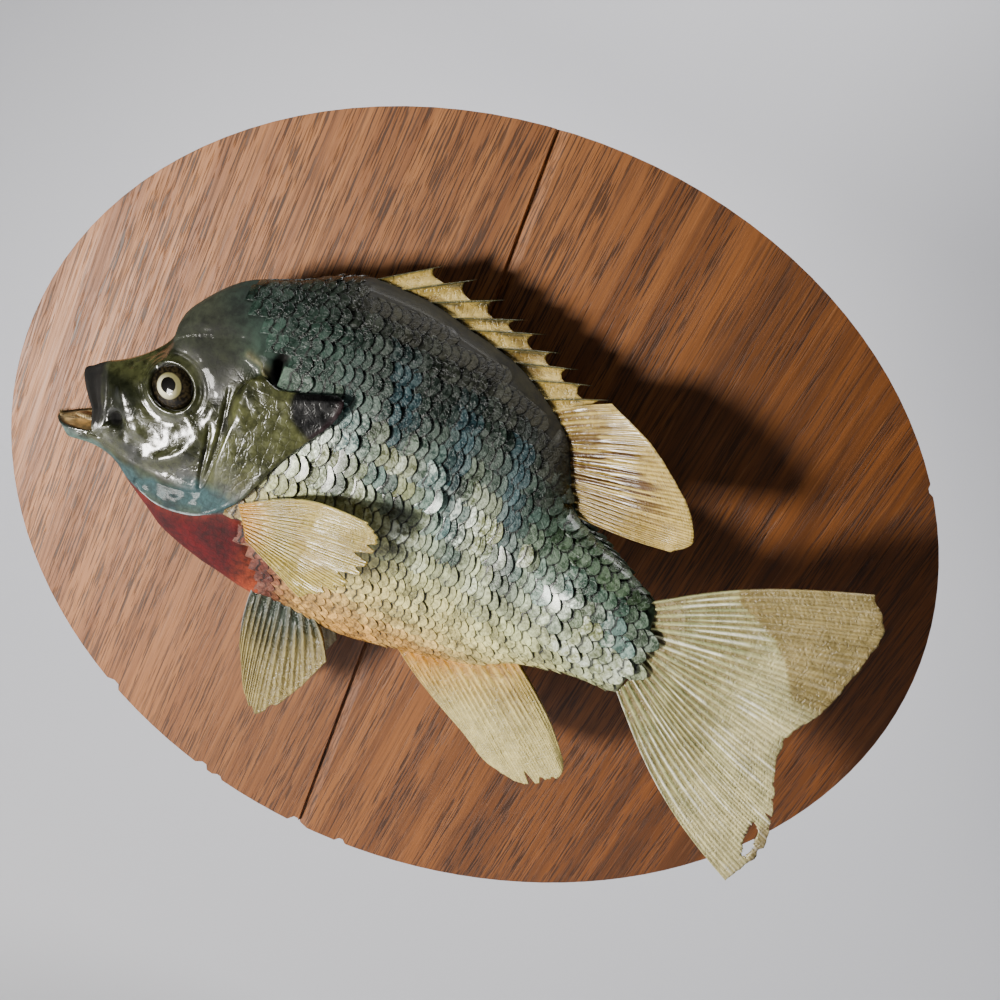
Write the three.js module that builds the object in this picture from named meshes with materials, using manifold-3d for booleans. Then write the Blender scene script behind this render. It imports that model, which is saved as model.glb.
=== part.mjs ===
// A mounted bluegill sunfish on an oval grooved board, made to hang on a wall.
// Millimetres. The origin is the centre of the board's back face: +X runs along the board's
// long axis towards the tail, +Y goes into the wall and +Z is up. The fish shows its left side.
import * as THREE from 'three';
import { mergeVertices } from 'three/addons/utils/BufferGeometryUtils.js';
import Module from 'manifold-3d';

const wasm = await Module();
wasm.setup();

// ---------------------------------------------------------------- driving dimensions

const GAP = 0.3; // clearance between neighbouring pieces
const BOARD = {
  halfWidth: 127,
  halfHeight: 106,
  thick: 6,
  grainLean: 3.1, // degrees that the grain leans to -X at the top
  grooveX: -18, // where the groove crosses the middle of the board
  grooveWidth: 3.2,
  grooveDepth: 1.4,
  grooveNear: 0.9, // share of the groove's width taken by its gentle side
  rimStep: 3, // degrees between two points of the rim
};
// Splinters missing from the board's rim: [angle in degrees, half width in degrees, depth]
const RIM_CHIPS = [
  [-128, 1.2, 1.3], [-111.2, 1.0, 1.5], [-108.5, 0.8, 0.9], [-96.3, 0.9, 1.9], [-89.3, 0.8, 1.3],
  [38, 0.9, 0.7],
];

// Height of the fish's middle sheet over the board's front face: [x, height].
const SHEET = [
  [-110, 22.0], [-85, 19.6], [-60, 17.0], [-38, 15.4], [-14, 15.4], [0, 16.8],
  [14, 21.0], [28, 27.5], [42, 33.0], [60, 39.5], [75, 44.0], [92, 48.0],
];

// The fish's stations from lips to tail root. Each has the top, bottom and side points of its ring:
// [name, top x, top z, bottom x, bottom z, side x, side z, half width, fullness of the section].
// From the brow back a ring is one upright slice.
const STATIONS = [
  ['lips', -101.5, 11.8, -104.4, -1.2, -95.2, 2.8, 4.5, 2.0],
  ['jaws', -98.2, 14.8, -100.4, -4.8, -93.8, 3.2, 5.6, 2.1],
  ['snout', -94.0, 17.4, -94.2, -5.2, -91.6, 5.0, 6.6, 2.2],
  ['brow', -89.8, 20.8, -89.8, -6.4, -89.8, 6.6, 7.6, 2.3],
  ['eye', -85.2, 26.9, -85.2, -10.0, -85.2, 8.0, 8.8, 2.4],
  ['nape foot', -83.6, 34.0, -83.6, -11.4, -83.6, 8.6, 9.2, 2.4],
  ['nape', -79.0, 41.0, -79.0, -15.0, -79.0, 9.6, 10.4, 2.3],
  ['cheek', -73.0, 46.4, -73.0, -19.8, -73.0, 10.6, 11.9, 2.2],
  ['crest', -65.4, 50.2, -65.4, -23.2, -65.4, 11.4, 13.3, 2.1],
  ['gill', -57.0, 54.4, -57.0, -25.8, -57.0, 12.4, 14.4, 2.05],
  ['dorsal root', -48.0, 58.3, -48.0, -28.1, -48.0, 13.4, 15.1, 2.0],
  ['back', -36.0, 58.5, -36.0, -29.8, -36.0, 13.8, 15.4, 1.95],
  ['belly', -24.0, 56.6, -24.0, -30.3, -24.0, 14.0, 15.2, 1.95],
  ['vent', -12.0, 54.2, -12.0, -28.6, -12.0, 14.0, 14.4, 1.95],
  ['flank', 0.0, 48.7, 0.0, -25.6, 0.0, 13.4, 13.3, 1.95],
  ['soft dorsal', 8.0, 43.2, 8.0, -22.8, 8.0, 12.4, 12.2, 1.95],
  ['saddle', 13.6, 33.2, 13.6, -19.6, 13.6, 11.2, 11.0, 2.0],
  ['stalk front', 20.0, 26.6, 20.0, -14.6, 20.0, 9.8, 9.6, 2.0],
  ['stalk', 28.0, 25.0, 28.0, -9.9, 28.0, 8.4, 8.0, 2.0],
  ['stalk rear', 36.0, 21.9, 36.0, -7.4, 36.0, 7.4, 6.0, 2.0],
  ['tail root', 42.2, 19.4, 43.4, -6.2, 44.2, 7.0, 3.6, 2.0],
];
const FIRST_UPRIGHT = 3; // the brow: the first station whose ring is an upright slice
const THROAT_BACK = [-88.6, 0, 4.4]; // where the mouth's lining closes: x, side, z
const MOUTH_RINGS = [0.35, 0.72, 0.93]; // rings of the lining, as shares of the lips
const ROOT_END = 1.2; // how far the flesh is domed past the last station
const AROUND = 22; // facets round a ring
const STEPS = 2; // rings between two stations
const HALVINGS = 40; // steps of the search for the station at a given x
const WELD = 1e-4; // points nearer than this are one point

// Outline of each gill cover, in x and z.
const GILL_OUTLINE = [
  [-67.9, 21.5], [-66.4, 25.6], [-62.2, 28.8], [-55.4, 28.8], [-47.8, 21.0], [-52.4, 12.6],
  [-57.4, 0.6], [-62.6, -5.4], [-68.2, -8.6], [-75.6, -9.9], [-81.4, -8.8], [-79.6, -5.0],
  [-72.6, -4.0], [-69.2, -1.2], [-67.5, 7.5], [-68.0, 14.2],
];
const GILL_PROUD = 0.9; // how far a gill cover stands over the flank
const GILL_DEEP = 2.2; // how far it reaches in
// Thin cuts that part the body, each a line in x and z that runs right through it.
const CUTS = [
  [[-98.0, 24.0], [-95.8, 12.9], [-94.0, 8.0], [-92.9, 2.8], [-110.0, 2.4]], // upper jaw
  [[-92.9, 2.8], [-89.4, -0.6], [-87.0, -14.0]], // lower jaw
  [[-88.6, 40.0], [-84.8, 31.5], [-77.0, 33.0], [-66.5, 36.6], [-61.2, 34.0], [-58.5, 12.0],
    [-62.0, -3.5]], // head from trunk
  [[-88.4, -7.2], [-81.0, -7.4], [-70.6, -6.2], [-62.0, -3.5], [-53.5, -6.5], [-46.5, -17.0],
    [-41.5, -36.0]], // throat
  [[-46.5, -17.0], [-20.0, -18.6], [4.0, -15.0], [20.5, -9.0]], // belly
  [[20.5, 34.0], [20.5, -26.0]], // tail stalk
];
// A point in each piece of the parted body: x, z.
const BODY_SEEDS = {
  upper_jaw: [-96.8, 8.6],
  lower_jaw: [-95.4, -2.2],
  head: [-77.0, 14.0],
  trunk: [-32.0, 20.0],
  throat: [-65.0, -16.0],
  belly: [-13.0, -20.0],
  tail_stalk: [32.0, 6.0],
};

// Glass eyes: place, size, how deep the dome's front lies, and how the axis is turned in degrees.
const EYE = {
  x: -80.5, z: 18.5, radius: 5.3, bulge: 2.1, back: 2.0, sink: 0.9, forward: 12, up: 6,
  socketDepth: 6, steps: 4, around: 16,
};

// Fins. Each has its root line and its margin in x and z, at even steps over the fin's rays, the
// bow of its outer rays, and the distance of the sheet from the middle at root and margin.
const FIN = { edge: 0.3, root: 0.62, ridge: 0.16 }; // half thicknesses and the height of a ray
const SPINY_DORSAL = {
  root: [[-46.4, 55.2], [-36, 55.6], [-25, 53.8], [-14, 51.6], [-5.5, 47.6], [-1.4, 45.0]],
  margin: [[-41.5, 62.6], [-28.0, 67.4], [-14.9, 64.2], [-5.0, 61.5], [3.7, 58.1], [12.3, 55.6]],
  rays: 10, notch: 0.26, bow: [0, 0], lift: [0, -1.0],
};
const SOFT_DORSAL = {
  root: [[-1.0, 44.8], [3.8, 41.0], [7.2, 36.6], [9.4, 32.6], [11.4, 29.6], [13.2, 27.0]],
  margin: [[13.2, 55.3], [23.3, 52.1], [32.4, 46.8], [39.0, 41.4], [41.9, 36.6], [38.8, 32.0]],
  rays: 11, notch: 0.02, bow: [0.5, 0.4], lift: [0, 1.0],
};
const ANAL = {
  root: [[-9.5, -25.8], [-3, -24.4], [3.5, -22.6], [10, -19.4], [16, -15.6], [19.6, -12.8]],
  margin: [[15.0, -42.4], [25.0, -46.0], [33.0, -45.4], [38.4, -40.8], [41.4, -35.4], [38.4, -30.4]],
  rays: 12, notch: 0.05, bow: [1.4, 1.0], lift: [0, -5.5],
};
const CAUDAL = {
  root: [[39.6, 18.2], [42.2, 14.2], [43.6, 10.0], [44.4, 5.6], [44.4, 0.8], [43.2, -4.8]],
  margin: [[78.4, 45.6], [84.6, 37.4], [83.4, 20.0], [79.4, 4.4], [85.4, -10.6], [88.4, -21.6],
    [85.4, -33.4]],
  rays: 17, notch: 0.015, bow: [2.4, 2.8], lift: [0, 0],
};
const PECTORAL_LEFT = {
  root: [[-57.4, -0.4], [-56.4, -2.2], [-55.2, -4.2], [-54.2, -6.2], [-53.2, -8.2]],
  margin: [[-26.5, 12.0], [-22.9, 8.8], [-23.0, 2.4], [-26.4, -5.4], [-34.4, -11.6]],
  rays: 12, notch: 0.04, bow: [3.0, 0.4], lift: [13.9, 24.2],
};
// The far pectoral is folded down along the flank, where the board leaves it room.
const PECTORAL_RIGHT = {
  root: [[-58.2, -1.0], [-57.2, -3.0], [-55.8, -5.0], [-54.6, -7.0], [-53.4, -8.8]],
  margin: [[-32.0, -9.0], [-26.0, -14.0], [-25.0, -20.0], [-29.0, -25.0], [-37.0, -26.5]],
  rays: 12, notch: 0.04, bow: [1.6, 1.0], lift: [14.2, 13.4],
};
const PELVIC = {
  root: [[-48.2, -22.5], [-44.4, -23.6], [-40.2, -24.2], [-36.0, -24.8], [-31.5, -25.0]],
  margin: [[-45.8, -41.0], [-39.6, -54.2], [-35.2, -58.8], [-28.4, -49.4], [-23.4, -35.8]],
  rays: 7, notch: 0.03, bow: [0.8, 0.8], lift: [4.6, 6.0],
};
const EAR_FLAP = {
  root: [[-56.4, 28.0], [-54.4, 25.6], [-52.6, 23.0], [-50.8, 20.4]],
  margin: [[-50.4, 31.0], [-44.4, 32.7], [-43.0, 29.8], [-47.0, 21.8]],
  rays: 4, notch: 0, bow: [0.5, 0.3], lift: [15.4, 16.6],
};
const EAR_FLAP_RIGHT = { ...EAR_FLAP, lift: [15.3, 15.2] };

const COLOUR = {
  board: [0x9a6242, 0.55], head: [0x4d553f, 0.35], jaw: [0x3a3a30, 0.4], gill: [0x6d7350, 0.35],
  flap: [0x1d1a20, 0.35], eye: [0xcfc9a4, 0.12], throat: [0x8a3d33, 0.45],
  trunk: [0x4c6a6b, 0.4], belly: [0xc4a876, 0.45], tail: [0x9aa17d, 0.4], fin: [0xc8bd86, 0.35],
};

// ---------------------------------------------------------------- small mathematics

const clamp = (v, low, high) => Math.min(high, Math.max(low, v));
const radians = (degrees) => (degrees * Math.PI) / 180;

// Smooth line through rows [x, y] that never overshoots them: cubic pieces whose slope at each
// row is the harmonic mean of the slopes on its two sides, and zero at a turning point.
function smooth(xs, ys, x) {
  const last = xs.length - 1;
  const at = clamp(x, xs[0], xs[last]);
  let i = 0;
  while (i < last - 1 && at > xs[i + 1]) i += 1;
  const rise = (k) => (ys[k + 1] - ys[k]) / (xs[k + 1] - xs[k]);
  const slope = (k) => {
    if (k === 0) return rise(0);
    if (k === last) return rise(last - 1);
    const before = rise(k - 1);
    const after = rise(k);
    return before * after <= 0 ? 0 : (2 * before * after) / (before + after);
  };
  const h = xs[i + 1] - xs[i];
  const t = (at - xs[i]) / h;
  const keep = (1 + 2 * t) * (1 - t) ** 2;
  const next = t * t * (3 - 2 * t);
  return ys[i] * keep + ys[i + 1] * next
    + h * slope(i) * t * (1 - t) ** 2 - h * slope(i + 1) * t * t * (1 - t);
}

// Point at share u of a line through evenly spaced points.
function along(points, u) {
  const steps = points.map((_, i) => i);
  const s = u * (points.length - 1);
  return points[0].map((_, axis) => smooth(steps, points.map((p) => p[axis]), s));
}

const sheetX = SHEET.map((row) => row[0]);
const sheetHeight = SHEET.map((row) => row[1]);
const heightAt = (x) => smooth(sheetX, sheetHeight, x);

// The fish is drawn flat, in x, z and the distance "side" to its left, and then bent: its middle
// sheet stands off the board by heightAt(x), and "side" is measured square to that sheet.
// Nothing comes closer to the board than the gap, so the far flank is flat where it lies on it.
function bend(x, side, z) {
  const slope = heightAt(x + 0.5) - heightAt(x - 0.5);
  const n = 1 / Math.hypot(1, slope);
  const off = Math.max(GAP, heightAt(x) + side * n);
  return [x - side * slope * n, -(BOARD.thick + off), z];
}

// ---------------------------------------------------------------- closed solids

// Closed solid from rings of points: each ring joins the next, and both ends close on a point.
function ringSolid(rings, startPoint, endPoint) {
  const around = rings[0].length;
  const points = [startPoint, ...rings.flat(), endPoint];
  const index = [];
  const id = (ring, k) => 1 + ring * around + (k % around);
  for (let k = 0; k < around; k += 1) {
    index.push(0, id(0, k + 1), id(0, k));
    index.push(points.length - 1, id(rings.length - 1, k), id(rings.length - 1, k + 1));
    for (let r = 0; r < rings.length - 1; r += 1) {
      index.push(id(r, k), id(r, k + 1), id(r + 1, k + 1));
      index.push(id(r, k), id(r + 1, k + 1), id(r + 1, k));
    }
  }
  return manifoldOf(points, index);
}

function manifoldOf(points, index) {
  const make = (triangles) => new wasm.Manifold(new wasm.Mesh({
    numProp: 3,
    vertProperties: new Float32Array(points.flat()),
    triVerts: new Uint32Array(triangles),
  }));
  const solid = make(index);
  if (solid.volume() > 0) return solid;
  const turned = [];
  for (let i = 0; i < index.length; i += 3) turned.push(index[i], index[i + 2], index[i + 1]);
  return make(turned);
}

function manifoldOfGeometry(geometry) {
  const bare = geometry.clone();
  bare.deleteAttribute('normal');
  bare.deleteAttribute('uv');
  const merged = mergeVertices(bare, WELD);
  const position = merged.getAttribute('position');
  const points = [];
  for (let i = 0; i < position.count; i += 1) {
    points.push([position.getX(i), position.getY(i), position.getZ(i)]);
  }
  return manifoldOf(points, Array.from(merged.index.array));
}

function geometryOf(solid) {
  const mesh = solid.getMesh();
  const stride = mesh.numProp;
  const count = mesh.vertProperties.length / stride;
  const position = new Float32Array(count * 3);
  for (let i = 0; i < count; i += 1) {
    for (let axis = 0; axis < 3; axis += 1) {
      position[3 * i + axis] = mesh.vertProperties[stride * i + axis];
    }
  }
  const geometry = new THREE.BufferGeometry();
  geometry.setAttribute('position', new THREE.BufferAttribute(position, 3));
  geometry.setIndex(new THREE.BufferAttribute(new Uint32Array(mesh.triVerts), 1));
  geometry.computeVertexNormals();
  return geometry;
}

// Prism with an outline in x and z, from yLow to yHigh.
function prism(outline, yLow, yHigh) {
  const shape = new THREE.Shape(outline.map(([x, z]) => new THREE.Vector2(x, z)));
  const geometry = new THREE.ExtrudeGeometry(shape, { depth: yHigh - yLow, bevelEnabled: false });
  geometry.rotateX(Math.PI / 2);
  geometry.translate(0, yHigh, 0);
  return manifoldOfGeometry(geometry);
}

// The points of an open line moved sideways by d, mitred at its corners.
function offsetLine(line, d) {
  return line.map(([x, z], i) => {
    const [ax, az] = line[Math.max(0, i - 1)];
    const [bx, bz] = line[Math.min(line.length - 1, i + 1)];
    const length = Math.hypot(bx - ax, bz - az);
    return [x - (d * (bz - az)) / length, z + (d * (bx - ax)) / length];
  });
}

// A closed outline moved outwards by d.
function grow(outline, d) {
  const count = outline.length;
  const area = outline.reduce((sum, [x, z], i) => {
    const [nx, nz] = outline[(i + 1) % count];
    return sum + x * nz - nx * z;
  }, 0);
  const turn = area > 0 ? 1 : -1;
  return outline.map(([x, z], i) => {
    const [ax, az] = outline[(i + count - 1) % count];
    const [bx, bz] = outline[(i + 1) % count];
    const length = Math.hypot(bx - ax, bz - az);
    return [x + (turn * d * (bz - az)) / length, z - (turn * d * (bx - ax)) / length];
  });
}

const FRONT = -(BOARD.thick + 80); // a plane in front of every piece
const cutWall = (line) => prism(
  [...offsetLine(line, GAP / 2), ...offsetLine(line, -GAP / 2).reverse()],
  FRONT,
  0,
);

// ---------------------------------------------------------------- the body

const stationSteps = STATIONS.map((_, i) => i);
const stationColumn = (column) => STATIONS.map((row) => row[column]);
const COLUMNS = [1, 2, 3, 4, 5, 6, 7, 8].map(stationColumn);

// Ring of the body at step s (station number), grown by "extra": points [x, side, z].
// Each quarter is a superellipse between the side point and the top or bottom point.
function bodyRing(s, extra) {
  const [topX, topZ, lowX, lowZ, sideX, sideZ, half, full] = COLUMNS.map(
    (column) => smooth(stationSteps, column, s),
  );
  const ring = [];
  for (let k = 0; k < AROUND; k += 1) {
    const angle = -Math.PI / 2 + (2 * Math.PI * k) / AROUND;
    const up = Math.sin(angle);
    const out = Math.cos(angle);
    const [endX, endZ] = up > 0 ? [topX, topZ + extra] : [lowX, lowZ - extra];
    const reach = Math.abs(up) ** (2 / full);
    ring.push([
      sideX + (endX - sideX) * reach,
      Math.sign(out) * (half + extra) * Math.abs(out) ** (2 / full),
      sideZ + (endZ - sideZ) * reach,
    ]);
  }
  return ring;
}

function bodySolid(extra) {
  const lips = bodyRing(0, extra);
  const inner = MOUTH_RINGS.map((share) => lips.map(
    (p) => p.map((v, axis) => THROAT_BACK[axis] + share * (v - THROAT_BACK[axis])),
  ));
  const rings = [...inner];
  for (let i = 0; i <= (STATIONS.length - 1) * STEPS; i += 1) rings.push(bodyRing(i / STEPS, extra));
  const end = rings[rings.length - 1];
  const middle = [0, 1, 2].map((axis) => end.reduce((sum, p) => sum + p[axis], 0) / end.length);
  middle[0] += ROOT_END + extra;
  const bent = rings.map((ring) => ring.map((p) => bend(...p)));
  return ringSolid(bent, bend(...THROAT_BACK), bend(...middle));
}

// Half width of the body at x and z, on the slices behind the brow.
function halfWidthAt(x, z) {
  let low = FIRST_UPRIGHT;
  let high = STATIONS.length - 1;
  for (let i = 0; i < HALVINGS; i += 1) {
    const middle = (low + high) / 2;
    if (smooth(stationSteps, COLUMNS[4], middle) < x) low = middle;
    else high = middle;
  }
  const [, topZ, , lowZ, , sideZ, half, full] = COLUMNS.map(
    (column) => smooth(stationSteps, column, low),
  );
  const reach = z > sideZ ? (z - sideZ) / (topZ - sideZ) : (sideZ - z) / (sideZ - lowZ);
  return half * (1 - clamp(reach, 0, 1) ** full) ** (1 / full);
}

const bodyWhole = bodySolid(0);
const bodyClear = bodySolid(GAP); // the body with its clearance, taken out of what touches it
const middleOf = (solid) => {
  const box = solid.boundingBox();
  return [(box.min[0] + box.max[0]) / 2, (box.min[2] + box.max[2]) / 2];
};

// ---------------------------------------------------------------- gill covers and eyes

const GILL_MIDDLE = -(BOARD.thick + heightAt(GILL_OUTLINE[0][0])); // parts the left and the right

function gillCover(left) {
  const [yLow, yHigh] = left ? [FRONT, GILL_MIDDLE] : [GILL_MIDDLE, 0];
  return bodySolid(GILL_PROUD)
    .intersect(prism(grow(GILL_OUTLINE, -GAP / 2), yLow, yHigh))
    .subtract(bodySolid(-GILL_DEEP));
}

const gillRoom = prism(grow(GILL_OUTLINE, GAP / 2), FRONT, 0)
  .subtract(bodySolid(-GILL_DEEP - GAP));

// A glass eye: a lens turned about its axis, domed in front, with a shallow back. Its socket is
// the same with clearance, and runs straight out of the head in front.
function eyeSolid(left, extra, socket = false) {
  const profile = [];
  const steps = EYE.steps;
  const last = socket ? steps : 2 * steps;
  for (let i = 0; i <= last; i += 1) {
    const angle = -Math.PI / 2 + (Math.PI * i) / (2 * steps);
    const depth = Math.sin(angle) > 0 ? EYE.bulge : EYE.back;
    const radius = i % (2 * steps) === 0 ? 0 : (EYE.radius + extra) * Math.cos(angle);
    profile.push(new THREE.Vector2(radius, (depth + extra) * Math.sin(angle)));
  }
  if (socket) {
    profile.push(new THREE.Vector2(EYE.radius + extra, EYE.socketDepth));
    profile.push(new THREE.Vector2(0, EYE.socketDepth));
  }
  const geometry = new THREE.LatheGeometry(profile, EYE.around);
  const side = left ? 1 : -1;
  geometry.rotateX(left ? Math.PI : 0); // the lens's axis now points out of the head
  geometry.rotateZ(side * radians(-EYE.forward));
  geometry.rotateX(side * radians(-EYE.up));
  const reach = halfWidthAt(EYE.x, EYE.z) - EYE.sink - EYE.bulge / 2;
  geometry.translate(...bend(EYE.x, side * reach, EYE.z));
  return manifoldOfGeometry(geometry);
}

// ---------------------------------------------------------------- fins

// Twice the signed area of the triangle a, b, c.
const turnOf = ([ax, az], [bx, bz], [cx, cz]) => (bx - ax) * (cz - az) - (bz - az) * (cx - ax);

// Mid-sheet point of a fin: share u over its rays, share v from root to margin, as [x, side, z].
// Each ray is straight, but the outer rays bow outwards in a half sine.
function finPoint(fin, u, v) {
  const [rootX, rootZ] = along(fin.root, u);
  const [tipX, tipZ] = along(fin.margin, u);
  const [dx, dz] = [tipX - rootX, tipZ - rootZ];
  const rootEnds = [fin.root[0], fin.root[fin.root.length - 1]];
  const outwards = turnOf(rootEnds[0], rootEnds[1], fin.margin[0]) > 0 ? 1 : -1;
  const bow = (outwards * fin.bow[u < 0.5 ? 0 : 1] * (1 - 2 * u) * Math.sin(Math.PI * v))
    / Math.hypot(dx, dz);
  const side = fin.lift[0] + (fin.lift[1] - fin.lift[0]) * v;
  return [rootX + dx * v - dz * bow, side, rootZ + dz * v + dx * bow];
}

// A fin is a grid of rays between two faces. The margin dips between rays by "notch", and the
// half thickness tapers from the root to the edge, with a ridge along every ray.
function finSolid(fin, left, rows) {
  const columns = (fin.rays - 1) * 2;
  const hand = left ? 1 : -1;
  const face = (sign) => {
    const grid = [];
    for (let c = 0; c <= columns; c += 1) {
      const onRay = c % 2 === 0;
      for (let r = 0; r <= rows; r += 1) {
        const v = (r / rows) * (onRay ? 1 : 1 - fin.notch);
        const thick = FIN.root + (FIN.edge - FIN.root) * v + (onRay ? FIN.ridge * (1 - v / 2) : 0);
        const [x, side, z] = finPoint(fin, c / columns, v);
        grid.push(bend(x, hand * side + sign * thick, z));
      }
    }
    return grid;
  };
  const points = [...face(1), ...face(-1)];
  const high = rows + 1;
  const back = (columns + 1) * high;
  const index = [];
  const quad = (a, b, c, d) => index.push(a, b, c, a, c, d);
  for (let c = 0; c < columns; c += 1) {
    for (let r = 0; r < rows; r += 1) {
      const a = c * high + r;
      quad(a, a + high, a + high + 1, a + 1);
      quad(back + a, back + a + 1, back + a + high + 1, back + a + high);
    }
    const foot = c * high;
    quad(foot, back + foot, back + foot + high, foot + high);
    quad(foot + rows, foot + rows + high, back + foot + rows + high, back + foot + rows);
  }
  for (let r = 0; r < rows; r += 1) {
    const end = columns * high + r;
    quad(r, r + 1, back + r + 1, back + r);
    quad(end, back + end, back + end + 1, end + 1);
  }
  return manifoldOf(points, index);
}

const finOn = (fin, left = true, rows = 3) => finSolid(fin, left, rows).subtract(bodyClear);

// ---------------------------------------------------------------- the board

// Ellipse whose rim dips smoothly at each missing splinter.
function boardOutline() {
  const angles = [];
  for (let degrees = -180; degrees < 180; degrees += BOARD.rimStep) angles.push(degrees);
  for (const [at, width] of RIM_CHIPS) angles.push(at - width, at - width / 3, at + width / 3, at + width);
  angles.sort((a, b) => a - b);
  return angles.map((degrees) => {
    const chip = RIM_CHIPS.reduce((sum, [at, width, depth]) => (
      sum + depth * clamp(1.5 - (1.5 * Math.abs(degrees - at)) / width, 0, 1)
    ), 0);
    const x = BOARD.halfWidth * Math.cos(radians(degrees));
    const z = BOARD.halfHeight * Math.sin(radians(degrees));
    const keep = 1 - chip / Math.hypot(x, z);
    return [x * keep, z * keep];
  });
}

// The groove: a V with one steep and one gentle side, run along the grain.
function grooveSolid() {
  const shape = new THREE.Shape([
    new THREE.Vector2(-BOARD.grooveWidth * (1 - BOARD.grooveNear), 1),
    new THREE.Vector2(-BOARD.grooveWidth * (1 - BOARD.grooveNear), 0),
    new THREE.Vector2(0, -BOARD.grooveDepth),
    new THREE.Vector2(BOARD.grooveWidth * BOARD.grooveNear, 0),
    new THREE.Vector2(BOARD.grooveWidth * BOARD.grooveNear, 1),
  ]);
  const length = 2 * BOARD.halfWidth; // longer than the board is high, so it runs out at both ends
  const geometry = new THREE.ExtrudeGeometry(shape, { depth: length, bevelEnabled: false });
  geometry.translate(0, 0, -length / 2);
  geometry.rotateZ(Math.PI); // the mouth of the V faces the viewer
  geometry.scale(-1, 1, 1);
  geometry.rotateY(-radians(BOARD.grainLean));
  geometry.translate(BOARD.grooveX, -BOARD.thick, 0);
  return manifoldOfGeometry(geometry);
}

// ---------------------------------------------------------------- the parted model

const model = new THREE.Group();
function add(name, solid, [colour, roughness]) {
  const material = new THREE.MeshStandardMaterial({ color: colour, roughness, metalness: 0 });
  const mesh = new THREE.Mesh(geometryOf(solid), material);
  mesh.name = name;
  model.add(mesh);
}

add('board', prism(boardOutline(), -BOARD.thick, 0).subtract(grooveSolid()), COLOUR.board);

const eyeRoom = eyeSolid(true, GAP, true).add(eyeSolid(false, GAP, true));
const parted = CUTS.reduce((solid, line) => solid.subtract(cutWall(line)), bodyWhole)
  .subtract(gillRoom)
  .subtract(eyeRoom);
const BODY_COLOURS = {
  upper_jaw: COLOUR.jaw, lower_jaw: COLOUR.jaw, head: COLOUR.head, trunk: COLOUR.trunk,
  throat: COLOUR.throat, belly: COLOUR.belly, tail_stalk: COLOUR.tail,
};
const CRUMB = 4; // volume of the largest sliver that the cuts may leave
const pieces = parted.decompose().filter((piece) => piece.volume() > CRUMB);
for (const [name, [x, z]] of Object.entries(BODY_SEEDS)) {
  const nearest = pieces.map((piece) => {
    const [px, pz] = middleOf(piece);
    return [Math.hypot(px - x, pz - z), piece];
  }).sort((a, b) => a[0] - b[0])[0][1];
  add(name, nearest, BODY_COLOURS[name]);
}

const flapRoom = prism(grow(GILL_OUTLINE, GAP / 2), FRONT, 0);
const gillClear = bodySolid(GILL_PROUD + GAP).intersect(prism(grow(GILL_OUTLINE, GAP), FRONT, 0));
for (const left of [true, false]) {
  const hand = left ? 'left' : 'right';
  add(`gill_cover_${hand}`, gillCover(left), COLOUR.gill);
  add(`eye_${hand}`, eyeSolid(left, 0), COLOUR.eye);
  const flap = left ? EAR_FLAP : EAR_FLAP_RIGHT;
  const pectoral = left ? PECTORAL_LEFT : PECTORAL_RIGHT;
  add(`ear_flap_${hand}`, finOn(flap, left).subtract(flapRoom), COLOUR.flap);
  add(`pectoral_fin_${hand}`, finOn(pectoral, left).subtract(gillClear), COLOUR.fin);
  add(`pelvic_fin_${hand}`, finOn(PELVIC, left), COLOUR.fin);
}
add('dorsal_fin_spiny', finOn(SPINY_DORSAL), COLOUR.fin);
add('dorsal_fin_soft', finOn(SOFT_DORSAL), COLOUR.fin);
add('anal_fin', finOn(ANAL), COLOUR.fin);
add('caudal_fin', finOn(CAUDAL, true, 4), COLOUR.fin);

export default model;
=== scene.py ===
"""Looks of a mounted bluegill sunfish on an oval veneered board.

Shapes are worked out in millimetres, in the fish's own flat drawing: x runs from head to tail,
side is the distance to the fish's left and z is up. bend() then lays them over the board.
"""

import math

import bmesh
import bpy
import numpy as np
from mathutils import Matrix, Vector


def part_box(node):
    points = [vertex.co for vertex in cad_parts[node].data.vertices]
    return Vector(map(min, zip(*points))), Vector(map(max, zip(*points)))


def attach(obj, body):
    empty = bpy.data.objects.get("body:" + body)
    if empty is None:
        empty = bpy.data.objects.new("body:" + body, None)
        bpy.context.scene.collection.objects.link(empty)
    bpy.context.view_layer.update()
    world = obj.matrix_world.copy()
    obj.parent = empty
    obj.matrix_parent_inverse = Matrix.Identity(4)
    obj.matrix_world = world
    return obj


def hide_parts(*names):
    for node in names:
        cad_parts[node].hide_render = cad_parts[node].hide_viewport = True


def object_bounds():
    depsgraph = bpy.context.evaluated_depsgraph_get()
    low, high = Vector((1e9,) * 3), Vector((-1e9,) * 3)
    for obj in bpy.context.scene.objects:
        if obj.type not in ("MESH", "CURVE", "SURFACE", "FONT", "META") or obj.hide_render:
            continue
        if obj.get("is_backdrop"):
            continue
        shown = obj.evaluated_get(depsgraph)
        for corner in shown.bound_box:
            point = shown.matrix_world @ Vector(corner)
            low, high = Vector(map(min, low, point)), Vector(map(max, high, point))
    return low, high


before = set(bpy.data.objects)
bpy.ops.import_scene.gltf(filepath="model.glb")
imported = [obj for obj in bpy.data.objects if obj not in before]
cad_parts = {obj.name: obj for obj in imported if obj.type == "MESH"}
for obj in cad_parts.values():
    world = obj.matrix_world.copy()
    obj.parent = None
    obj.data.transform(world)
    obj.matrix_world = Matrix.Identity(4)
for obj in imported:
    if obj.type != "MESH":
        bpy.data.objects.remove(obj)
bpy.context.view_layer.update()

MM = 0.001  # metres in a millimetre
BOARD_THICK = (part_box("board")[1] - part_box("board")[0]).y / MM
GAP = 0.3  # the least distance between the fish and the board
NOISE_TABLE = 65536  # random values behind each noise field
NOISE_PRIMES = np.array([73856093, 19349663, 83492791])  # spread a cell's place over that table


# ------------------------------------------------------------------ small mathematics


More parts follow.
